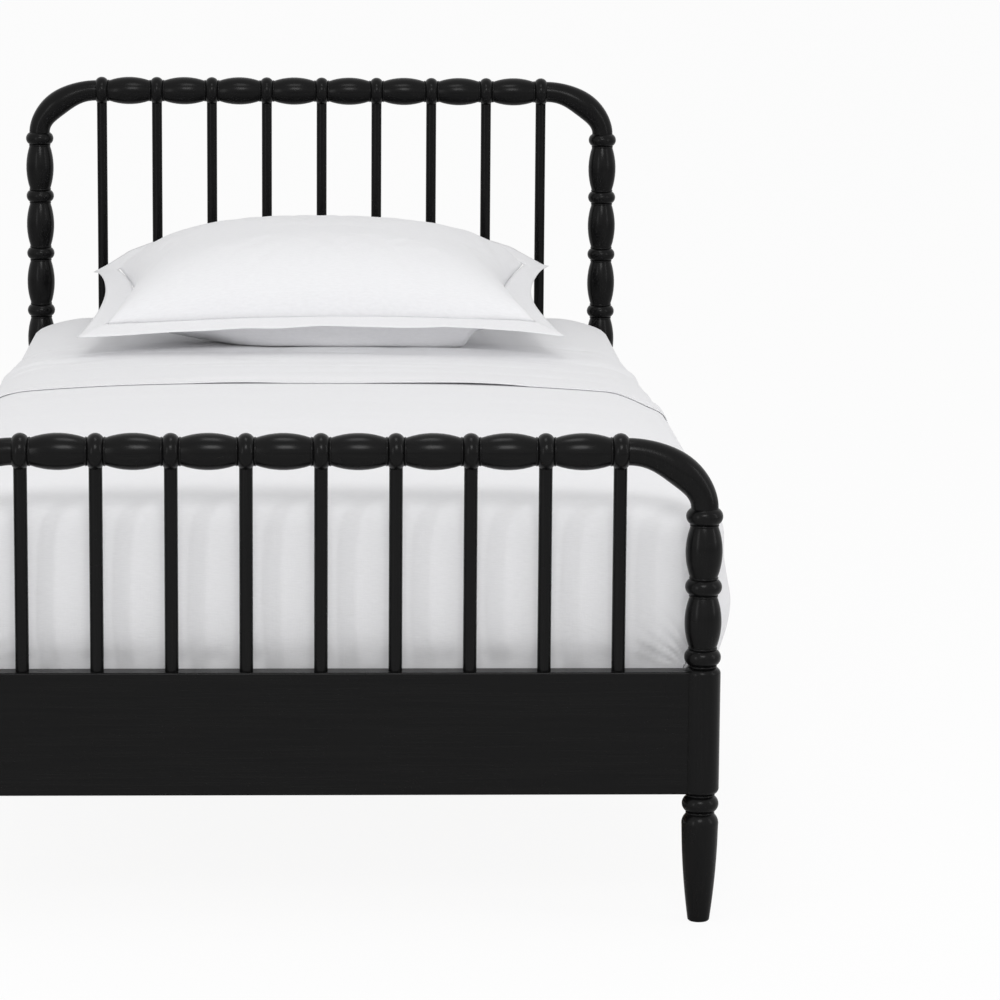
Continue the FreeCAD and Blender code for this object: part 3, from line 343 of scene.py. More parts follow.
# Woven cotton: threads both ways as two sets of fine waves, uneven along their length, and slow soft creasing.
def makeCotton(name, look):
    material, shader = newMaterial(name)
    flat = clothPlacesOf(material, (1, 1, 1))
    threadWaves = [addNode(material, "ShaderNodeTexWave", {"Vector": flat, "Scale": look["threads"] / math.tau,
                                                           "Distortion": 0.6, "Detail": 1, "Detail Scale": 0.3},
                           bands_direction=way).outputs["Fac"] for way in ("X", "Y")]
    weave = addMath(material, "MULTIPLY", *threadWaves)
    slubs = [addNoise(material, clothPlacesOf(material, scale), detail=3, roughness=0.6) for scale in look["slubs"]]
    creasing = addNoise(material, clothPlacesOf(material, look["creasing"]), detail=4, roughness=0.55,
                        distortion=0.4)
    creased = addBump(material, creasing, 0.6, look["creaseDepth"])
    slubbed = addBump(material, addMath(material, "ADD", *slubs), 0.5, look["slubDepth"], Normal=creased)
    setInputs(material, shader, {
        "Base Color": twoTones(material, slubs[0], look),
        "Roughness": spread(material, creasing, *look["roughness"]),
        "Specular IOR Level": 0.25,
        "Sheen Weight": look["sheen"],
        "Sheen Roughness": look["sheenRoughness"],
        "Normal": addBump(material, weave, 0.6, look["threadDepth"], Normal=slubbed),
    })
    return material


finishes = {
    "paintUp": makePaint("black paint, grain upright", 2),
    "paintAcross": makePaint("black paint, grain across", 0),
    "paintAlong": makePaint("black paint, grain along", 1),
    "timberUp": makeTimber("bare wood, grain upright", 2),
    "timberAcross": makeTimber("bare wood, grain across", 0),
    "timberAlong": makeTimber("bare wood, grain along", 1),
    "steel": makeSteel("zinc plated steel"),
    "leveller": makeLevellerFinish("levelling foot"),
    "cotton": makeCotton("white cotton", cotton),
    "ticking": makeCotton("mattress ticking", ticking),
}
finishOf = {
    "post": "paintUp", "corner": "paintUp", "spindle": "paintUp", "top_rail": "paintAcross", "board": "paintAcross",
    "side_rail": "paintAlong", "slat_ledger": "timberAlong", "slat": "timberAcross", "centre_beam": "timberAlong",
    "centre_leg": "timberUp", "corner_dowels": "timberUp", "beam_hangers": "steel", "plates": "steel",
    "leg_inserts": "steel", "levelling_foot": "leveller", "wood_screws": "steel",
}
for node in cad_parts:
    wanted = [word for word in finishOf if word in node.replace("headboard_", "").replace("footboard_", "")]
    if wanted:
        finish = finishes[finishOf[max(wanted, key=len)]]
        part = bpy.data.objects[node]
        if not part.material_slots:
            part.data.materials.append(finish)
        for held in part.material_slots:
            held.material = finish
print("stage: finishes on the wood and steel")


mattress = {
    "middle": {"halfWidth": 0.41, "foot": -0.8965, "head": 0.9185, "squareness": 0.8},
    # out from the flat middle, and height
    "side": [(0, 0.5592), (0.02, 0.5588), (0.045, 0.5545), (0.070, 0.5485), (0.0905, 0.5405), (0.1015, 0.531),
             (0.1065, 0.518), (0.108, 0.50), (0.107, 0.46), (0.103, 0.42), (0.095, 0.385), (0.0875, 0.36),
             (0.0855, 0.34), (0.085, 0.315), (0.082, 0.300), (0.073, 0.2925), (0.060, 0.290), (0.015, 0.290)],
    "end": [(0, 0.5592), (0.015, 0.5585), (0.031, 0.5535), (0.041, 0.5435), (0.0455, 0.530), (0.0475, 0.505),
            (0.0475, 0.46), (0.0465, 0.42), (0.0455, 0.385), (0.045, 0.36), (0.045, 0.34), (0.045, 0.315),
            (0.042, 0.300), (0.033, 0.2925), (0.020, 0.290), (-0.025, 0.290)],
    "under": 0.290,                                  # height of the slats' top
    "inset": 0.0026,                                 # the core's distance inside the sheet
    "step": 0.014,
    "underBedding": (0.50, 0.58),                    # from pressed to free, along the bed
    "narrower": 0.016, "lower": 0.009,               # how far the pressed part gives way
    "weldDistance": 0.0002,
}


# The soft mattress: its top edges are rounded and its sides swell over the side rails. Under the bedding, towards
# the foot, it is pressed narrower and its edges lower.
def mattressSurface(u, v, inset):
    side, end = evenCurve(mattress["side"]), evenCurve(mattress["end"])
    points, share, turn = overBlock(u, v, mattress["middle"], side, end)
    x, y, z = points[..., 0], points[..., 1], points[..., 2]
    pressed = 1 - smoothStep(*mattress["underBedding"], y)
    above = smoothStep(0.35, 0.42, z)
    out = np.maximum(np.abs(x) - mattress["middle"]["halfWidth"], 0)
    points[..., 0] -= np.sign(x) * mattress["narrower"] * pressed * above * smoothStep(0.03, 0.10, out)
    points[..., 2] -= mattress["lower"] * pressed * smoothStep(0.12, 0.44, np.abs(x)) * smoothStep(0.45, 0.54, z)
    return points - gridNormals(points) * inset, share, turn


def mattressPlaces(step):
    middle = mattress["middle"]
    sideLength, endLength = evenCurve(mattress["side"])[1], evenCurve(mattress["end"])[1]
    u = evenly(-middle["halfWidth"] - sideLength, middle["halfWidth"] + sideLength, step)
    v = evenly(middle["foot"] - endLength, middle["head"] + endLength, step)
    return np.meshgrid(u, v)


# The mattress is closed underneath by a flat grid that joins the edge of its upper surface.
def makeMattress():
    u, v = mattressPlaces(mattress["step"])
    rows, columns = u.shape
    upper = mattressSurface(u, v, mattress["inset"])[0]
    upper[..., 2] = np.maximum(upper[..., 2], mattress["under"])
    lowEnd, highEnd = upper[0, columns // 2, 1], upper[-1, columns // 2, 1]
    flatX = np.linspace(-1, 1, columns)[None, :] * upper[rows // 2, -1, 0] + 0 * v
    flatY = np.linspace(-1, 1, rows)[:, None] * np.abs(highEnd - lowEnd) / 2 + (highEnd + lowEnd) / 2 + 0 * u
    under = np.stack([flatX, flatY, 0 * u + mattress["under"]], -1)
    under[0], under[-1], under[:, 0], under[:, -1] = upper[0], upper[-1], upper[:, 0], upper[:, -1]
    quads = gridQuads(rows, columns)
    points = np.concatenate([upper.reshape(-1, 3), under.reshape(-1, 3)])
    flat = np.concatenate([np.stack([u, v], -1).reshape(-1, 2)] * 2)
    core = makePiece("mattress_core", points, np.concatenate([quads, quads[:, ::-1] + u.size]),
                     finishes["ticking"], flat)
    weld = core.modifiers.new("join halves", "WELD")
    weld.merge_threshold = mattress["weldDistance"]
    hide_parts("mattress")


fittedSheet = {
    "thickness": 0.0012, "step": 0.011, "seed": 21,
    # size one way and the other, and height
    "swelling": (0.21, 0.21, 0.0009), "tension": (0.03, 0.24, 0.0003), "gathers": (0.028, 0.5, 0.0016),
    "fan": (1 / 14, 0.4, 0.0018),                    # its first size is in radians round the corner
    "tallest": 0.002, "elasticPull": 0.0012,
}


# The fitted sheet is stretched over the top and all four sides and held under the edge. It is drawn in folds
# only near its elastic, and in faint fans at its corners.
def makeFittedSheet():
    u, v = mattressPlaces(fittedSheet["step"])
    base, share, turn = mattressSurface(u, v, 0)
    seed = fittedSheet["seed"]
    around = np.where(np.abs(np.sin(turn)) > 0.7, u, v)
    top = waves(fittedSheet["swelling"], u, v, seed) + waves(fittedSheet["tension"], u, v, seed + 1)
    overEdge = 1 - smoothStep(0.84, 0.9, share)
    low = smoothStep(0.5, 0.8, share) * overEdge
    gathers = waves(fittedSheet["gathers"], around, share, seed + 2) * low
    fan = waves(fittedSheet["fan"], turn, share, seed + 3) * np.sin(turn * 2) ** 2 * smoothStep(0.15, 0.35, share)
    height = (top * (1 - smoothStep(0.1, 0.2, share)) - fittedSheet["elasticPull"] * low
              + np.minimum(gathers + fan * overEdge, fittedSheet["tallest"]))
    points = base + gridNormals(base) * height[..., None]
    sheet = makePiece("fitted_sheet", points, gridQuads(*u.shape), finishes["cotton"],
                      np.stack([u, v], -1))
    thicken(sheet, fittedSheet["thickness"])


makeMattress()
makeFittedSheet()
print("stage: mattress and fitted sheet")


bedding = {
    "middle": {"halfWidth": 0.462, "foot": -0.8645, "head": 0.5405, "squareness": 1},
    # out from the flat middle, and height
    "side": [(0, 0.5534), (0.013, 0.5518), (0.030, 0.5485), (0.047, 0.5432), (0.060, 0.539), (0.069, 0.5345),
             (0.0745, 0.5285), (0.078, 0.520), (0.081, 0.508), (0.0815, 0.49), (0.082, 0.473), (0.0865, 0.447),
             (0.092, 0.42), (0.0925, 0.402), (0.089, 0.38), (0.082, 0.357), (0.077, 0.3425)],
    "end": [(0, 0.5655), (0.030, 0.565), (0.053, 0.5615), (0.0705, 0.5525), (0.082, 0.538), (0.087, 0.51),
            (0.0895, 0.45), (0.0885, 0.39), (0.086, 0.35), (0.085, 0.300)],
    "dip": 0.0107, "dipWidth": 0.444,                # how far the top falls at that distance from the middle
    "drawIn": (0.01, 0.60, 0.05),                    # where it starts, its share per metre, how softly it starts
    "sideHem": 0.3425,
    "tuckTurn": (1.22, 1.48),                        # from hanging to tucked in, round the foot corners
    "thickness": 0.006,
}


# The bedding's outer surface. The top falls with the cube of the distance from the middle, and the swollen sides
# are drawn in towards the head.
def beddingSurface(u, v):
    sideProfile, endProfile = evenCurve(bedding["side"]), evenCurve(bedding["end"])
    halfWidth = bedding["middle"]["halfWidth"]
    dip = bedding["dip"] * (np.minimum(np.abs(u), halfWidth) / bedding["dipWidth"]) ** 3
    points, share, turn = overBlock(u, v, bedding["middle"], sideProfile, endProfile, dip)
    x, y = points[..., 0], points[..., 1]
    start, rate, softness = bedding["drawIn"]
    past = np.maximum(np.abs(x) - halfWidth, 0)
    points[..., 0] -= np.sign(x) * past * rate * np.logaddexp(0, (y - start) / softness) * softness
    # at the corners only the part behind the foot board is tucked down
    tucked = smoothStep(*bedding["tuckTurn"], turn)
    hem = bedding["sideHem"] * (1 - tucked) + bedding["end"][-1][1] * tucked
    points[..., 2] = np.where(turn > 0, np.maximum(points[..., 2], hem), points[..., 2])
    return points, share, turn


bedspread = {
    "acrossStep": 0.0072, "footStep": 0.0045, "topStep": 0.012, "seed": 40,
    # size one way and the other, and height; the second size of hanging folds is in shares of the profile
    "swelling": (0.27, 0.31, 0.0018), "streaks": (0.42, 0.026, 0.0010), "soft": (0.13, 0.16, 0.0022),
    "hanging": (0.105, 1.25, 0.0055), "hangingFine": (0.043, 0.625, 0.0018),
    "tuck": (0.346, 0.016, 0.003),                   # height, half width and depth
    "gathers": (0.011, 0.05, 0.0022), "gathersOut": 0.0008,
    "fanCentre": (0.512, 0.318), "fanReach": (0.072, 0.032), "fanHeight": 0.0019,
    "fanFolds": 34, "fanWander": 1.8,                # folds per radian, and how far they stray, in radians
    "pinchAcross": (0.497, 0.02), "pinchUp": (0.44, 0.062), "pinch": (0.0085, 0.05, 0.0013),
}


# How far the cloth stands out from that surface: slow swelling, faint streaks across the bed, folds that hang
# down the sides, gathers where the foot end is tucked in, and fans of folds drawn towards the two foot posts.
# A fan is a sine of the angle round its centre, within a ring; a pinch is leaning noise within a small patch.
def beddingFolds(u, v, points, share, turn):
    seed = bedspread["seed"]
    x, z = points[..., 0], points[..., 2]
    onTop = 1 - smoothStep(0.05, 0.3, share)
    atFoot = smoothStep(1.0, 1.35, turn) * smoothStep(0.2, 0.4, share)
    atSide = (1 - smoothStep(0.5, 1.1, turn)) * smoothStep(0.15, 0.45, share) * (share > 0)
    swelling = waves(bedspread["swelling"], u, v, seed) * (0.35 + 0.65 * onTop)
    streaks = waves(bedspread["streaks"], u, v, seed + 1) * onTop
    hanging = (waves(bedspread["hanging"], v, share, seed + 2) + waves(bedspread["hangingFine"], v, share, seed + 3)
               ) * atSide * smoothStep(0.3, 1, share)
    soft = waves(bedspread["soft"], x, z, seed + 4) * atFoot
    tuckHeight, tuckWidth, tuckDepth = bedspread["tuck"]
    tuck = bell(z, tuckHeight, tuckWidth) * atFoot
    gathers = (waves(bedspread["gathers"], x, z, seed + 5) + bedspread["gathersOut"]) * tuck
    height = swelling + streaks + hanging + soft + gathers - tuckDepth * tuck
    below = share > 0.3
    for side in (-1, 1):
        dx, dz = x * side - bedspread["fanCentre"][0], z - bedspread["fanCentre"][1]
        reach, angle = np.hypot(dx, dz), np.arctan2(dz, -dx)
        inFan = bell(reach, *bedspread["fanReach"]) * smoothStep(0.25, 0.5, angle)
        inFan *= 1 - smoothStep(1.25, 1.5, angle)
        wander = waves((0.04, 0.5, bedspread["fanWander"]), reach, angle + side / 2, seed + 6)
        height += np.sin(angle * bedspread["fanFolds"] + wander) * bedspread["fanHeight"] * inFan * below
        pinch = bell(x * side, *bedspread["pinchAcross"]) * bell(z, *bedspread["pinchUp"])
        height += waves(bedspread["pinch"], z + dx * 0.5, x, seed + 7) * pinch * below
    return height


def makeBedspread():
    middle = bedding["middle"]
    sideLength, footLength = evenCurve(bedding["side"])[1], evenCurve(bedding["end"])[1]
    across = evenly(-middle["halfWidth"] - sideLength, middle["halfWidth"] + sideLength, bedspread["acrossStep"])
    along = np.concatenate([evenly(middle["foot"] - footLength, middle["foot"], bedspread["footStep"]),
                            evenly(middle["foot"], middle["head"], bedspread["topStep"])[1:]])
    u, v = np.meshgrid(across, along)
    base, share, turn = beddingSurface(u, v)
    points = base + gridNormals(base) * beddingFolds(u, v, base, share, turn)[..., None]
    piece = makePiece("bedspread_cloth", points, gridQuads(*u.shape), finishes["cotton"],
                      np.stack([u, v], -1))
    thicken(piece, bedding["thickness"])
    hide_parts("bedspread")


turnedBack = {
    "hem": 0.0705, "hemPull": 0.09, "hemPullAcross": (0.45, 0.535), "hemWander": (0.12, 1, 0.0022), "hemBand": 0.026,
    "hemStep": 0.0007, "looseHem": (0.075, 1, 0.0030), "looseFar": 0.03,
    "lift": 0.0019, "foldLift": 0.0055, "foldDrop": 0.0008, "liftFar": (0.12, 0.45), "topHalf": 0.45,
    "foldRadius": (0.0016, 0.007), "foldSpots": 12, "return": 0.03, "returnSpots": 4, "clearance": 0.0004,
    "bow": 0.24,                                     # metres along the bed per square metre across
    "ridges": (0.75, 0.034, 0.0042), "ridgesFine": (0.5, 0.016, 0.0016), "ridgesFar": (0.40, 0.46),
    # size across, size along, and the level of the noise that a crease follows
    "creases": ((0.55, 0.06, 0), (0.38, 0.05, 0.25), (0.45, 0.045, -0.3)), "creaseWidth": 0.07,
    "creaseDepth": 0.0013, "deepest": 0.0016,
    "thickness": 0.0016, "acrossStep": 0.0072, "alongStep": 0.0045, "seed": 70,
}


# The fold's share of its full lift: a parabola that falls to nothing at the edges of the top.
def foldRise(x):
    return 1 - np.minimum(np.abs(x) / turnedBack["topHalf"], 1) ** 2


# How far the turned-back sheet stands out from the bedding's surface. It lifts towards the fold, is loose along
# its hem, and has soft ridges and narrow creases that bow across the bed. A crease follows a line along which a
# slow noise has one level, as a bell curve of the noise's distance from that level.
def turnedBackHeight(u, v, fromHem, base, share, turn):
    seed = turnedBack["seed"]
    side = smoothStep(0.2, 0.6, share)
    clear = smoothStep(0.01, 0.07, fromHem)
    atFold = turnedBack["foldLift"] * foldRise(base[..., 0]) - turnedBack["foldDrop"]
    lift = turnedBack["lift"] + atFold * smoothStep(*turnedBack["liftFar"], fromHem)
    loose = np.maximum(waves(turnedBack["looseHem"], u, 0.3, seed + 1), 0) * (1 - side)
    loose *= 1 - smoothStep(0, turnedBack["looseFar"], fromHem)
    band = turnedBack["hemBand"]
    hemStep = turnedBack["hemStep"] * (1 - smoothStep(band - 0.002, band + 0.001, fromHem))
    bowed = v + turnedBack["bow"] * u**2
    ridges = waves(turnedBack["ridges"], u + 2.25, bowed, seed + 2)
    ridges += waves(turnedBack["ridgesFine"], u, bowed, seed + 3)
    ridges *= clear * (1 - smoothStep(*turnedBack["ridgesFar"], fromHem)) * (1 - 0.6 * side)
    creases = sum(bell(softNoise(u / across + seed, bowed / along, seed + 8), level, turnedBack["creaseWidth"])
                  for across, along, level in turnedBack["creases"]) * turnedBack["creaseDepth"] * clear * (1 - side)
    return (beddingFolds(u, v, base, share, turn) + lift + loose + hemStep
            + np.maximum(ridges, -turnedBack["deepest"]) - np.minimum(creases, turnedBack["deepest"]))


# The top sheet turned back over the bedspread: it follows the bedspread's surface a little above it, and at its
# head end it rolls round the bedspread's edge in a half circle. Its hem is pulled towards the foot at the right.
def makeTurnedBackSheet():
    middle = bedding["middle"]
    sideLength = evenCurve(bedding["side"])[1]
    across = evenly(-middle["halfWidth"] - sideLength, middle["halfWidth"] + sideLength, turnedBack["acrossStep"])
    rows = round((middle["head"] - turnedBack["hem"]) / turnedBack["alongStep"]) + 1
    u, part = np.meshgrid(across, np.linspace(0, 1, rows))
    hem = turnedBack["hem"] - turnedBack["hemPull"] * smoothStep(*turnedBack["hemPullAcross"], u)
    hem = hem + waves(turnedBack["hemWander"], u, 0.5, turnedBack["seed"])
    v = hem + (middle["head"] - hem) * part
    base, share, turn = beddingSurface(u, v)
    normals = gridNormals(base)
    cover = base + normals * turnedBackHeight(u, v, v - hem, base, share, turn)[..., None]
    # the fold: each point goes round a half circle, from outside the bedspread to just above the fitted sheet
    edge, inward = cover[-1:], normals[-1:]
    mattressTop = mattressSurface(*np.meshgrid(across, (0.55, 0.56)), 0)[0][0]
    room = edge[..., 2] - np.interp(edge[..., 0], mattressTop[:, 0], mattressTop[:, 2]) - turnedBack["clearance"]
    radius = np.clip(room / 2, *turnedBack["foldRadius"])[..., None]
    angles = np.linspace(0, math.pi, turnedBack["foldSpots"])[1:, None, None]
    under = np.linspace(0, turnedBack["return"], turnedBack["returnSpots"])[1:]
    ahead = np.array([0, 1.0, 0])
    roll = edge + ahead * radius * np.sin(angles) - inward * radius * (1 - np.cos(angles))
    back = roll[-1:] - ahead * under[:, None, None]
    points = np.concatenate([cover, roll, back])
    halfCircle = math.pi * turnedBack["foldRadius"][1]
    pastFold = np.concatenate([np.linspace(0, halfCircle, turnedBack["foldSpots"])[1:], halfCircle + under])
    flatV = np.concatenate([v, middle["head"] + pastFold[:, None] + 0 * across])
    flatU = np.broadcast_to(across, flatV.shape)
    piece = makePiece("turned_back_cloth", points, gridQuads(*flatU.shape), finishes["cotton"],
                      np.stack([flatU, flatV], -1))
    thicken(piece, turnedBack["thickness"])
    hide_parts("turned_back_sheet")
    return piece, cover, normals, (across[-1] - across[0], middle["head"] + pastFold[-1] - turnedBack["hem"])


stitch = {
    "length": 0.0030, "gap": 0.0014, "radius": 0.00035, "sunk": 0.0001, "spokes": 6,
    # each ring's place along the stitch, its share of the radius, and its rise in radii
    "rings": ((0, 0.35, -0.5), (0.18, 0.9, 0), (0.5, 1, 0.25), (0.82, 0.9, 0), (1, 0.35, -0.5)),
}


# A row of stitches along a path, laid end to end with gaps. Each is a swelling tube: rings of points round the
# line from its start to its end, lifted by a bow, with both ends closed by two quads.
def makeStitches(name, path, normals):
    length, radius, spokes = stitch["length"], stitch["radius"], stitch["spokes"]
    steps = np.concatenate([[0], np.cumsum(np.linalg.norm(np.diff(path, axis=0), axis=1))])
    starts = np.arange(0, steps[-1] - length, length + stitch["gap"])

    def along(values, places):
        return np.stack([np.interp(places, steps, values[:, i]) for i in range(3)], -1)

    first, last, up = along(path, starts), along(path, starts + length), along(normals, starts + length / 2)
    up /= np.linalg.norm(up, axis=1, keepdims=True)
    way = (last - first) / np.linalg.norm(last - first, axis=1, keepdims=True)
    aside = np.cross(way, up)
    spin = np.linspace(0, math.tau, spokes + 1)[:-1, None]
    spoke = np.cos(spin) * aside[:, None] + np.sin(spin) * up[:, None]
    centres = [first + (last - first) * part + up * ((rise + 0.5) * radius - stitch["sunk"])
               for part, size, rise in stitch["rings"]]
    points = np.stack([centre[:, None] + spoke * radius * size
                       for centre, (part, size, rise) in zip(centres, stitch["rings"])], axis=1)
    lastRing = (len(stitch["rings"]) - 1) * spokes
    ends = np.array([[0, 1, 2, 3], [0, 3, 4, 5]])
    sides = gridQuads(len(stitch["rings"]), spokes, wrapColumns=True)
    each = np.concatenate([sides[:, ::-1], ends, (lastRing + ends)[:, ::-1]])
    every = (each[None] + (np.arange(len(starts)) * (lastRing + spokes))[:, None, None]).reshape(-1, 4)
    return makePiece(name, points, every, finishes["thread"])


thread, threadShader = newMaterial("white thread")
twist = addNoise(thread, objectPlaces(thread, (2500, 2500, 2500)))
threadLook = {"dark": cotton["dark"], "light": (0.88, 0.88, 0.89, 1)}
setInputs(thread, threadShader, {"Base Color": twoTones(thread, twist, threadLook), "Roughness": 0.6})
finishes["thread"] = thread

makeBedspread()
sheetPiece, sheetCover, sheetNormals, sheetFlat = makeTurnedBackSheet()
hemRow = round(turnedBack["hemBand"] / turnedBack["alongStep"]) - 1
hemStitches = makeStitches("sheet_stitching", sheetCover[hemRow], sheetNormals[hemRow])
print("stage: bedspread and turned-back sheet")


pillow = {
    "width": 0.718, "depth": 0.410, "step": 0.0078, "startCrown": 0.012,
    "crown": 0.119, "belly": 0.077, "middle": (0, 0.6245, 0.636), "tilt": 5.6,
    "drawnIn": (0.037, 0.048),                       # at the left and right end
    # the form swells as (1 - |s|^a)^b, with a and b for across, across underneath, and front to back
    "across": (2.4, 0.5), "acrossUnder": (2, 0.6), "lengthwise": (2.6, 0.55),
    # place across, and height above the pillow's plane
    "frontSeam": [(-0.36, -0.001), (-0.235, 0.005), (-0.135, 0.010), (0.03, 0.0135), (0.13, 0.013), (0.23, 0.0095),
                  (0.33, 0.007), (0.359, 0.004)],
    "frontRim": [(-0.406, -0.0145), (-0.28, -0.008), (-0.135, 0), (0, 0.006), (0.2, 0.007), (0.326, -0.002),
                 (0.397, -0.0095)],
    "rearSeam": [(-0.36, 0.002), (-0.325, 0.020), (-0.28, 0.034), (-0.2, 0.043), (0, 0.045), (0.2, 0.044),
                 (0.28, 0.040), (0.325, 0.030), (0.36, 0.012)],
    "rearRim": [(-0.415, -0.018), (-0.375, 0.005), (-0.339, 0.029), (-0.30, 0.044), (-0.25, 0.051), (0, 0.054),
                (0.25, 0.053), (0.30, 0.047), (0.3375, 0.035), (0.352, 0.026), (0.3985, -0.001)],
    # place across, and how full the belly is at the front
    "frontBelly": [(-0.36, 0.6), (-0.19, 0.8), (-0.08, 1.5), (0.03, 1.75), (0.245, 1.75), (0.262, 0.8), (0.36, 0.6)],
    "tallestWrinkle": 0.0045, "smoothing": 6,
    # size one way and the other, and height
    "lean": (0.11, 1, 0.9), "puckers": (0.0105, 0.15, 0.0016), "diagonal": (0.026, 0.16, 0.006),
    "soft": (0.12, 0.10, 0.0022),
    "puckersReach": 0.042, "puckerGroups": 0.05,
    "fold": (0.546, 0.560), "sheetTop": 0.5602,      # where the turned-back sheet ends, and the fitted sheet's top
    "seed": 90,
    "frames": 36,
    "trial": {"quality": 6, "mass": 0.25, "tension_stiffness": 30, "compression_stiffness": 30,
              "shear_stiffness": 12, "bending_stiffness": 0.6, "air_damping": 2, "use_pressure": True,
              "uniform_pressure_force": 5.0},
}


# Two flat layers that share their edge, each arched a little: their points and quads, the upper and the lower
# layer's point numbers, and which places are on the edge.
def pillowGrid():
    x = evenly(-pillow["width"] / 2, pillow["width"] / 2, pillow["step"])
    y = evenly(-pillow["depth"] / 2, pillow["depth"] / 2, pillow["step"])
    gridX, gridY = np.meshgrid(x, y)
    onEdge = np.ones(gridX.shape, bool)
    onEdge[1:-1, 1:-1] = False
    arch = (1 - (gridX / x[-1]) ** 2) * (1 - (gridY / y[-1]) ** 2) * pillow["startCrown"]
    upper = np.stack([gridX, gridY, arch], -1).reshape(-1, 3)
    upperIndex = np.arange(len(upper)).reshape(gridX.shape)
    lowerIndex = upperIndex.copy()
    lowerIndex[~onEdge] = len(upper) + np.arange(np.sum(~onEdge))
    quads = gridQuads(*gridX.shape)
    points = np.concatenate([upper, upper[upperIndex[~onEdge]] * (1, 1, -1)])
    return points, np.concatenate([quads, lowerIndex.ravel()[quads][:, ::-1]]), upperIndex, lowerIndex, onEdge


# The two layers, sewn round the edge, are blown up, so that they pucker at the seam as a stuffed pillow does.
# Only the wrinkles are used.
def blowUp(points, quads):
    mesh = bpy.data.meshes.new("pillow trial")
    mesh.from_pydata(points.tolist(), [], quads.tolist())
    trial = addObject("pillow trial", mesh)
    cloth = trial.modifiers.new("cloth", "CLOTH")
    for key, value in pillow["trial"].items():
        setattr(cloth.settings, key, value)
    cloth.settings.effector_weights.gravity = 0
    cloth.collision_settings.use_collision = False
    cloth.point_cache.frame_end = pillow["frames"]
    for number in range(1, pillow["frames"] + 1):
        bpy.context.scene.frame_set(number)
    made = trial.evaluated_get(bpy.context.evaluated_depsgraph_get()).to_mesh()
    result = np.empty(len(made.vertices) * 3)
    made.vertices.foreach_get("co", result)
    bpy.context.scene.frame_set(1)
    bpy.data.objects.remove(trial)
    bpy.data.meshes.remove(mesh)
    return result.reshape(-1, 3)


flatPillow, pillowQuads, upperSide, lowerSide, pillowEdge = pillowGrid()
blown = blowUp(flatPillow, pillowQuads)
print("stage: pillow trial")


def toBed(points):
    tilt = math.radians(pillow["tilt"])
    c, s = math.cos(tilt), math.sin(tilt)
    x, y, z = points[..., 0], points[..., 1], points[..., 2]
    return np.stack([x, y * c - z * s, y * s + z * c], -1) + np.array(pillow["middle"])


# What the pillow lies on: the turned-back sheet up to its fold, then the fitted sheet.
def pillowSupport(places):
    x, y = places[..., 0], places[..., 1]
    onSheet = 1 - smoothStep(*pillow["fold"], y)
    cloth = (bedding["end"][0][1] + turnedBack["lift"] + turnedBack["thickness"]
             + turnedBack["foldLift"] * foldRise(x) - bedding["dip"] * (np.abs(x) / bedding["dipWidth"]) ** 3)
    return pillow["sheetTop"] + (cloth - pillow["sheetTop"]) * onSheet


# Heights smoothed over their neighbours, a number of times.
def smoothed(grid, times):
    for _ in range(times):
        wide = np.pad(grid, 1, "edge")
        grid = (wide[:-2, 1:-1] + wide[2:, 1:-1] + wide[1:-1, :-2] + wide[1:-1, 2:]) / 8 + wide[1:-1, 1:-1] / 2
    return grid


def swell(place, powers):
    return (1 - np.abs(place) ** powers[0]).clip(0) ** powers[1]


# Heights above the pillow's plane along its front and rear, each fading out towards the middle.
def seamLift(x, along, front, rear):
    return (np.interp(x, *zip(*pillow[front])) * np.clip(-along, 0, 1) ** 2
            + np.interp(x, *zip(*pillow[rear])) * np.clip(along, 0, 1) ** 2)


# The pillow's own form, with its seam lifted and its ends drawn in. On it lie the trial's wrinkles, each held
# below a height, puckers that lean along the front seam, slanting folds at the rear corners and soft waves.
def shapedPillow():
    seed, x, y = pillow["seed"], flatPillow[upperSide, 0], flatPillow[upperSide, 1]
    across, along = x / x[0, -1], y / y[-1, 0]
    middle = seamLift(x, along, "frontSeam", "rearSeam")
    upper = pillow["crown"] * swell(along, pillow["lengthwise"]) * swell(across, pillow["across"])
    belly = pillow["belly"] * swell(along, pillow["lengthwise"]) * swell(across, pillow["acrossUnder"])
    belly *= 1 - smoothStep(0.3, 0.9, -along) * (1 - np.interp(x, *zip(*pillow["frontBelly"])))
    drawn = np.where(x < 0, *pillow["drawnIn"]) * np.abs(across) ** 3 * (1 - along**2)
    fromFront = (along + 1) * pillow["depth"] / 2
    lean = waves(pillow["lean"], x, 0.5, seed + 3)
    puckers = waves(pillow["puckers"], x - lean * fromFront, fromFront, seed + 4)
    grouped = smoothStep(-0.4, 0.5, softNoise(x / pillow["puckerGroups"], 0.5, seed + 5))
    puckers *= np.exp(-fromFront / pillow["puckersReach"]) * (0.4 + 0.6 * grouped)
    atCorner = np.abs(across) ** 4 * smoothStep(0, 0.8, along)
    diagonal = waves(pillow["diagonal"], x + np.sign(x) * y, x - np.sign(x) * y, seed + 6) * atCorner
    soft = waves(pillow["soft"], x, y, seed + 7)
    inside = smoothed(1.0 * ~pillowEdge, 3) * ~pillowEdge
    scale, tallest = pillow["crown"] / blown[:, 2].max(), pillow["tallestWrinkle"]
    shaped = np.empty_like(blown)
    for index, height in ((lowerSide, -belly), (upperSide, upper)):
        trial = blown[index, 2] * scale
        wrinkle = np.tanh((trial - smoothed(trial, pillow["smoothing"])) / tallest) * tallest
        detail = (wrinkle + puckers + diagonal + soft) * inside
        shaped[index] = np.stack([x - np.sign(x) * drawn, y, middle + height + detail], -1)
    return shaped


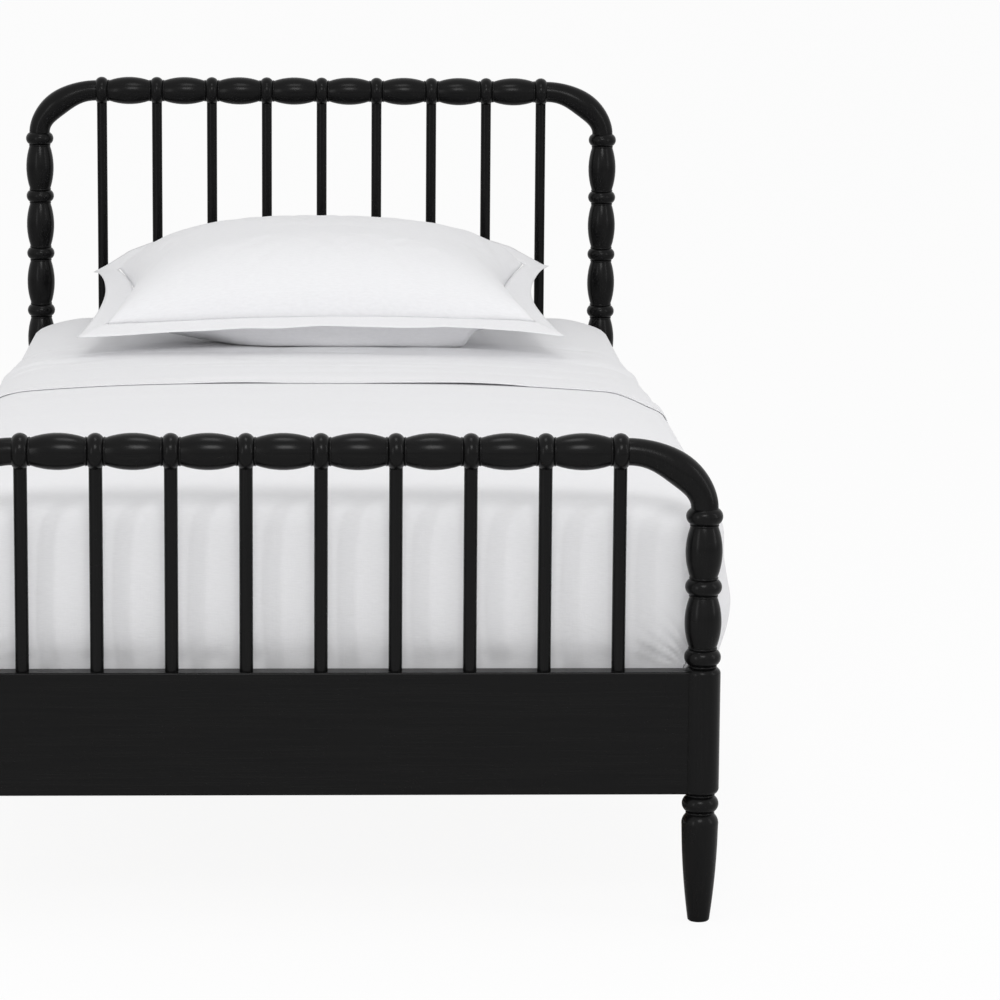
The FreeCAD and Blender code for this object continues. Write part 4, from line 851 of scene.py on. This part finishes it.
localPillow = shapedPillow()
placedPillow = toBed(localPillow)
placedPillow[:, 2] = np.maximum(placedPillow[:, 2], pillowSupport(placedPillow))
pillowBody = makePiece("pillow_case", placedPillow, pillowQuads, finishes["cotton"],
                       flatPillow[:, :2])
finer = pillowBody.modifiers.new("finer", "SUBSURF")
finer.levels = finer.render_levels = 1
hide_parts("pillow")


flange = {
    "width": 0.808, "depth": 0.500, "thickness": 0.0026, "rings": 9, "clearance": 0.0003,
    "drawnIn": 0.9,                                  # how much of the seam's drawing in the rim follows
    "waves": ((1 / 46, 1, 0.0022), (1 / 17, 1, 0.0016)),     # first size in turns round the pillow
    "rimSharpness": 24, "atSeam": 0.6, "flatGrowth": 0.15,
}


# The flat edge: a closed band with a rounded rim. It goes from the seam out to a rectangle round the pillow,
# follows the seam's drawing in, and waves a little. Its half thickness is the root of 1 - share^24.
def makeFlange():
    ring = np.concatenate([upperSide[0, :-1], upperSide[:-1, -1], upperSide[-1, :0:-1], upperSide[:0:-1, 0]])
    seam, flat = localPillow[ring], flatPillow[ring]
    rim = flat * (flange["width"] / pillow["width"], flange["depth"] / pillow["depth"], 1)
    rim[:, :2] += (seam - flat)[:, :2] * flange["drawnIn"]
    share = np.linspace(0, 1, flange["rings"])[:, None]
    around = np.arange(len(ring)) / len(ring)
    along = np.clip(flat[:, 1] / (pillow["depth"] / 2), -1, 1)
    rim[:, 2] = seamLift(rim[:, 0], along, "frontRim", "rearRim") + sum(
        waves(kind, around, 0.5, pillow["seed"] + number) for number, kind in enumerate(flange["waves"]))
    line = seam[None] * (1 - share[..., None]) + rim[None] * share[..., None]
    half = flange["thickness"] / 2 * np.sqrt(np.clip(1 - (share * 0.999) ** flange["rimSharpness"], 0, 1))
    half[0] *= flange["atSeam"]
    upper, lower = line.copy(), line.copy()
    upper[..., 2] += half
    lower[..., 2] -= half
    lower, upper = toBed(lower), toBed(upper)
    lift = np.maximum(pillowSupport(lower) + flange["clearance"] - lower[..., 2], 0)
    lower[..., 2] += lift
    upper[..., 2] += lift
    points = np.concatenate([upper, lower[::-1]])
    flatPlaces = np.concatenate([flat[None, :, :2] * (1 + share[..., None] * flange["flatGrowth"])] * 2)
    quads = gridQuads(points.shape[0], points.shape[1], wrapRows=True, wrapColumns=True)
    makePiece("pillow_flange", points, quads[:, ::-1], finishes["cotton"], flatPlaces)
    stitched = upper[1] * 0.6 + upper[2] * 0.4       # a little outside the seam
    closed = np.concatenate([stitched, stitched[:1]])
    makeStitches("pillow_stitching", closed, np.broadcast_to((0, -0.1, 1.0), closed.shape))


makeFlange()
print("stage: pillow")


studio = {
    "floor": (0.88, 0.88, 0.88, 1), "floorShare": 0.92, "fill": 0.70, "reach": 60,
    "lamps": [
        # name, place, aim, width, height, power
        ("front left", (-3.5, -4.6, 1.6), (0, -0.6, 0.5), 0.4, 2.8, 24),
        ("right", (3.6, -1.9, 1.7), (0, -0.2, 0.5), 0.4, 2.4, 12),
        ("high front", (0.2, -5.0, 3.7), (0, -0.4, 0.5), 1.8, 1.5, 74),
        ("overhead", (0.0, -0.9, 3.9), (0, -0.4, 0.5), 1.1, 1.0, 16),
    ],
}


def makeFloor():
    mesh = bpy.data.meshes.new("floor")
    reach = studio["reach"]
    corners = [(x * reach, y * reach, 0) for x, y in ((-1, -1), (1, -1), (1, 1), (-1, 1))]
    mesh.from_pydata(corners, [], [(0, 1, 2, 3)])
    floor = addObject("floor", mesh)
    material, shader = newMaterial("pale floor")
    seen = addNode(material, "ShaderNodeLightPath", {})
    setInputs(material, shader, {"Base Color": studio["floor"], "Roughness": 0.8, "Specular IOR Level": 0.1})
    plain = addNode(material, "ShaderNodeEmission", {"Color": (1, 1, 1, 1), "Strength": 1})
    toEye = addMath(material, "MULTIPLY", seen.outputs["Is Camera Ray"], studio["floorShare"])
    mixed = addNode(material, "ShaderNodeMixShader", {0: toEye, 1: shader.outputs[0], 2: plain.outputs[0]})
    output = next(node for node in material.node_tree.nodes if node.type == "OUTPUT_MATERIAL")
    setInputs(material, output, {"Surface": mixed.outputs[0]})
    mesh.materials.append(material)


# White to the eye and in reflections, and darker as a light.
def makeWorld():
    world = bpy.data.worlds.new("studio")
    bpy.context.scene.world = world
    world.use_nodes = True
    world.node_tree.nodes.clear()
    rays = addNode(world, "ShaderNodeLightPath", {}).outputs
    mirrored = addMath(world, "MAXIMUM", rays["Is Camera Ray"], rays["Is Glossy Ray"])
    seen = addMath(world, "MAXIMUM", mirrored, rays["Is Transmission Ray"])
    level = addNode(world, "ShaderNodeMapRange", {"Value": seen, "To Min": studio["fill"], "To Max": 1})
    light = addNode(world, "ShaderNodeBackground", {"Color": (1, 1, 1, 1), "Strength": level.outputs[0]})
    addNode(world, "ShaderNodeOutputWorld", {"Surface": light.outputs[0]})


def makeLamp(name, place, aim, width, height, power):
    lamp = bpy.data.lights.new(name, "AREA")
    lamp.shape, lamp.size, lamp.size_y, lamp.energy = "RECTANGLE", width, height, power
    held = addObject(name, lamp)
    held.location = place
    held.rotation_euler = (Vector(aim) - Vector(place)).to_track_quat("-Z", "Y").to_euler()


camera = {
    "place": (0.0016, -6.0617, 1.4764),
    "toRight": 1.8856, "down": 8.9519, "roll": 0.3439,     # degrees
    "focal": 3926.6, "picture": 1000, "sensor": 36,        # pixels, and millimetres
    "shift": (0.05, -0.08),
}


def makeCamera():
    data = bpy.data.cameras.new("camera")
    held = addObject("camera", data)
    bpy.context.scene.camera = held
    data.sensor_width, data.lens = camera["sensor"], camera["focal"] * camera["sensor"] / camera["picture"]
    data.shift_x, data.shift_y = camera["shift"]
    data.clip_end = 100
    yaw, pitch, roll = (math.radians(camera[key]) for key in ("toRight", "down", "roll"))
    ahead = Vector((math.sin(yaw) * math.cos(pitch), math.cos(yaw) * math.cos(pitch), -math.sin(pitch)))
    right = Vector((math.cos(yaw), -math.sin(yaw), 0))
    up = right.cross(ahead)
    right, up = right * math.cos(roll) + up * math.sin(roll), up * math.cos(roll) - right * math.sin(roll)
    turned = Matrix((right, up, -ahead)).transposed().to_4x4()
    held.matrix_world = Matrix.Translation(camera["place"]) @ turned


makeFloor()
makeWorld()
for lamp in studio["lamps"]:
    makeLamp(*lamp)
makeCamera()
bpy.context.scene.view_settings.view_transform = "Standard"
print("stage: floor, lights and camera")
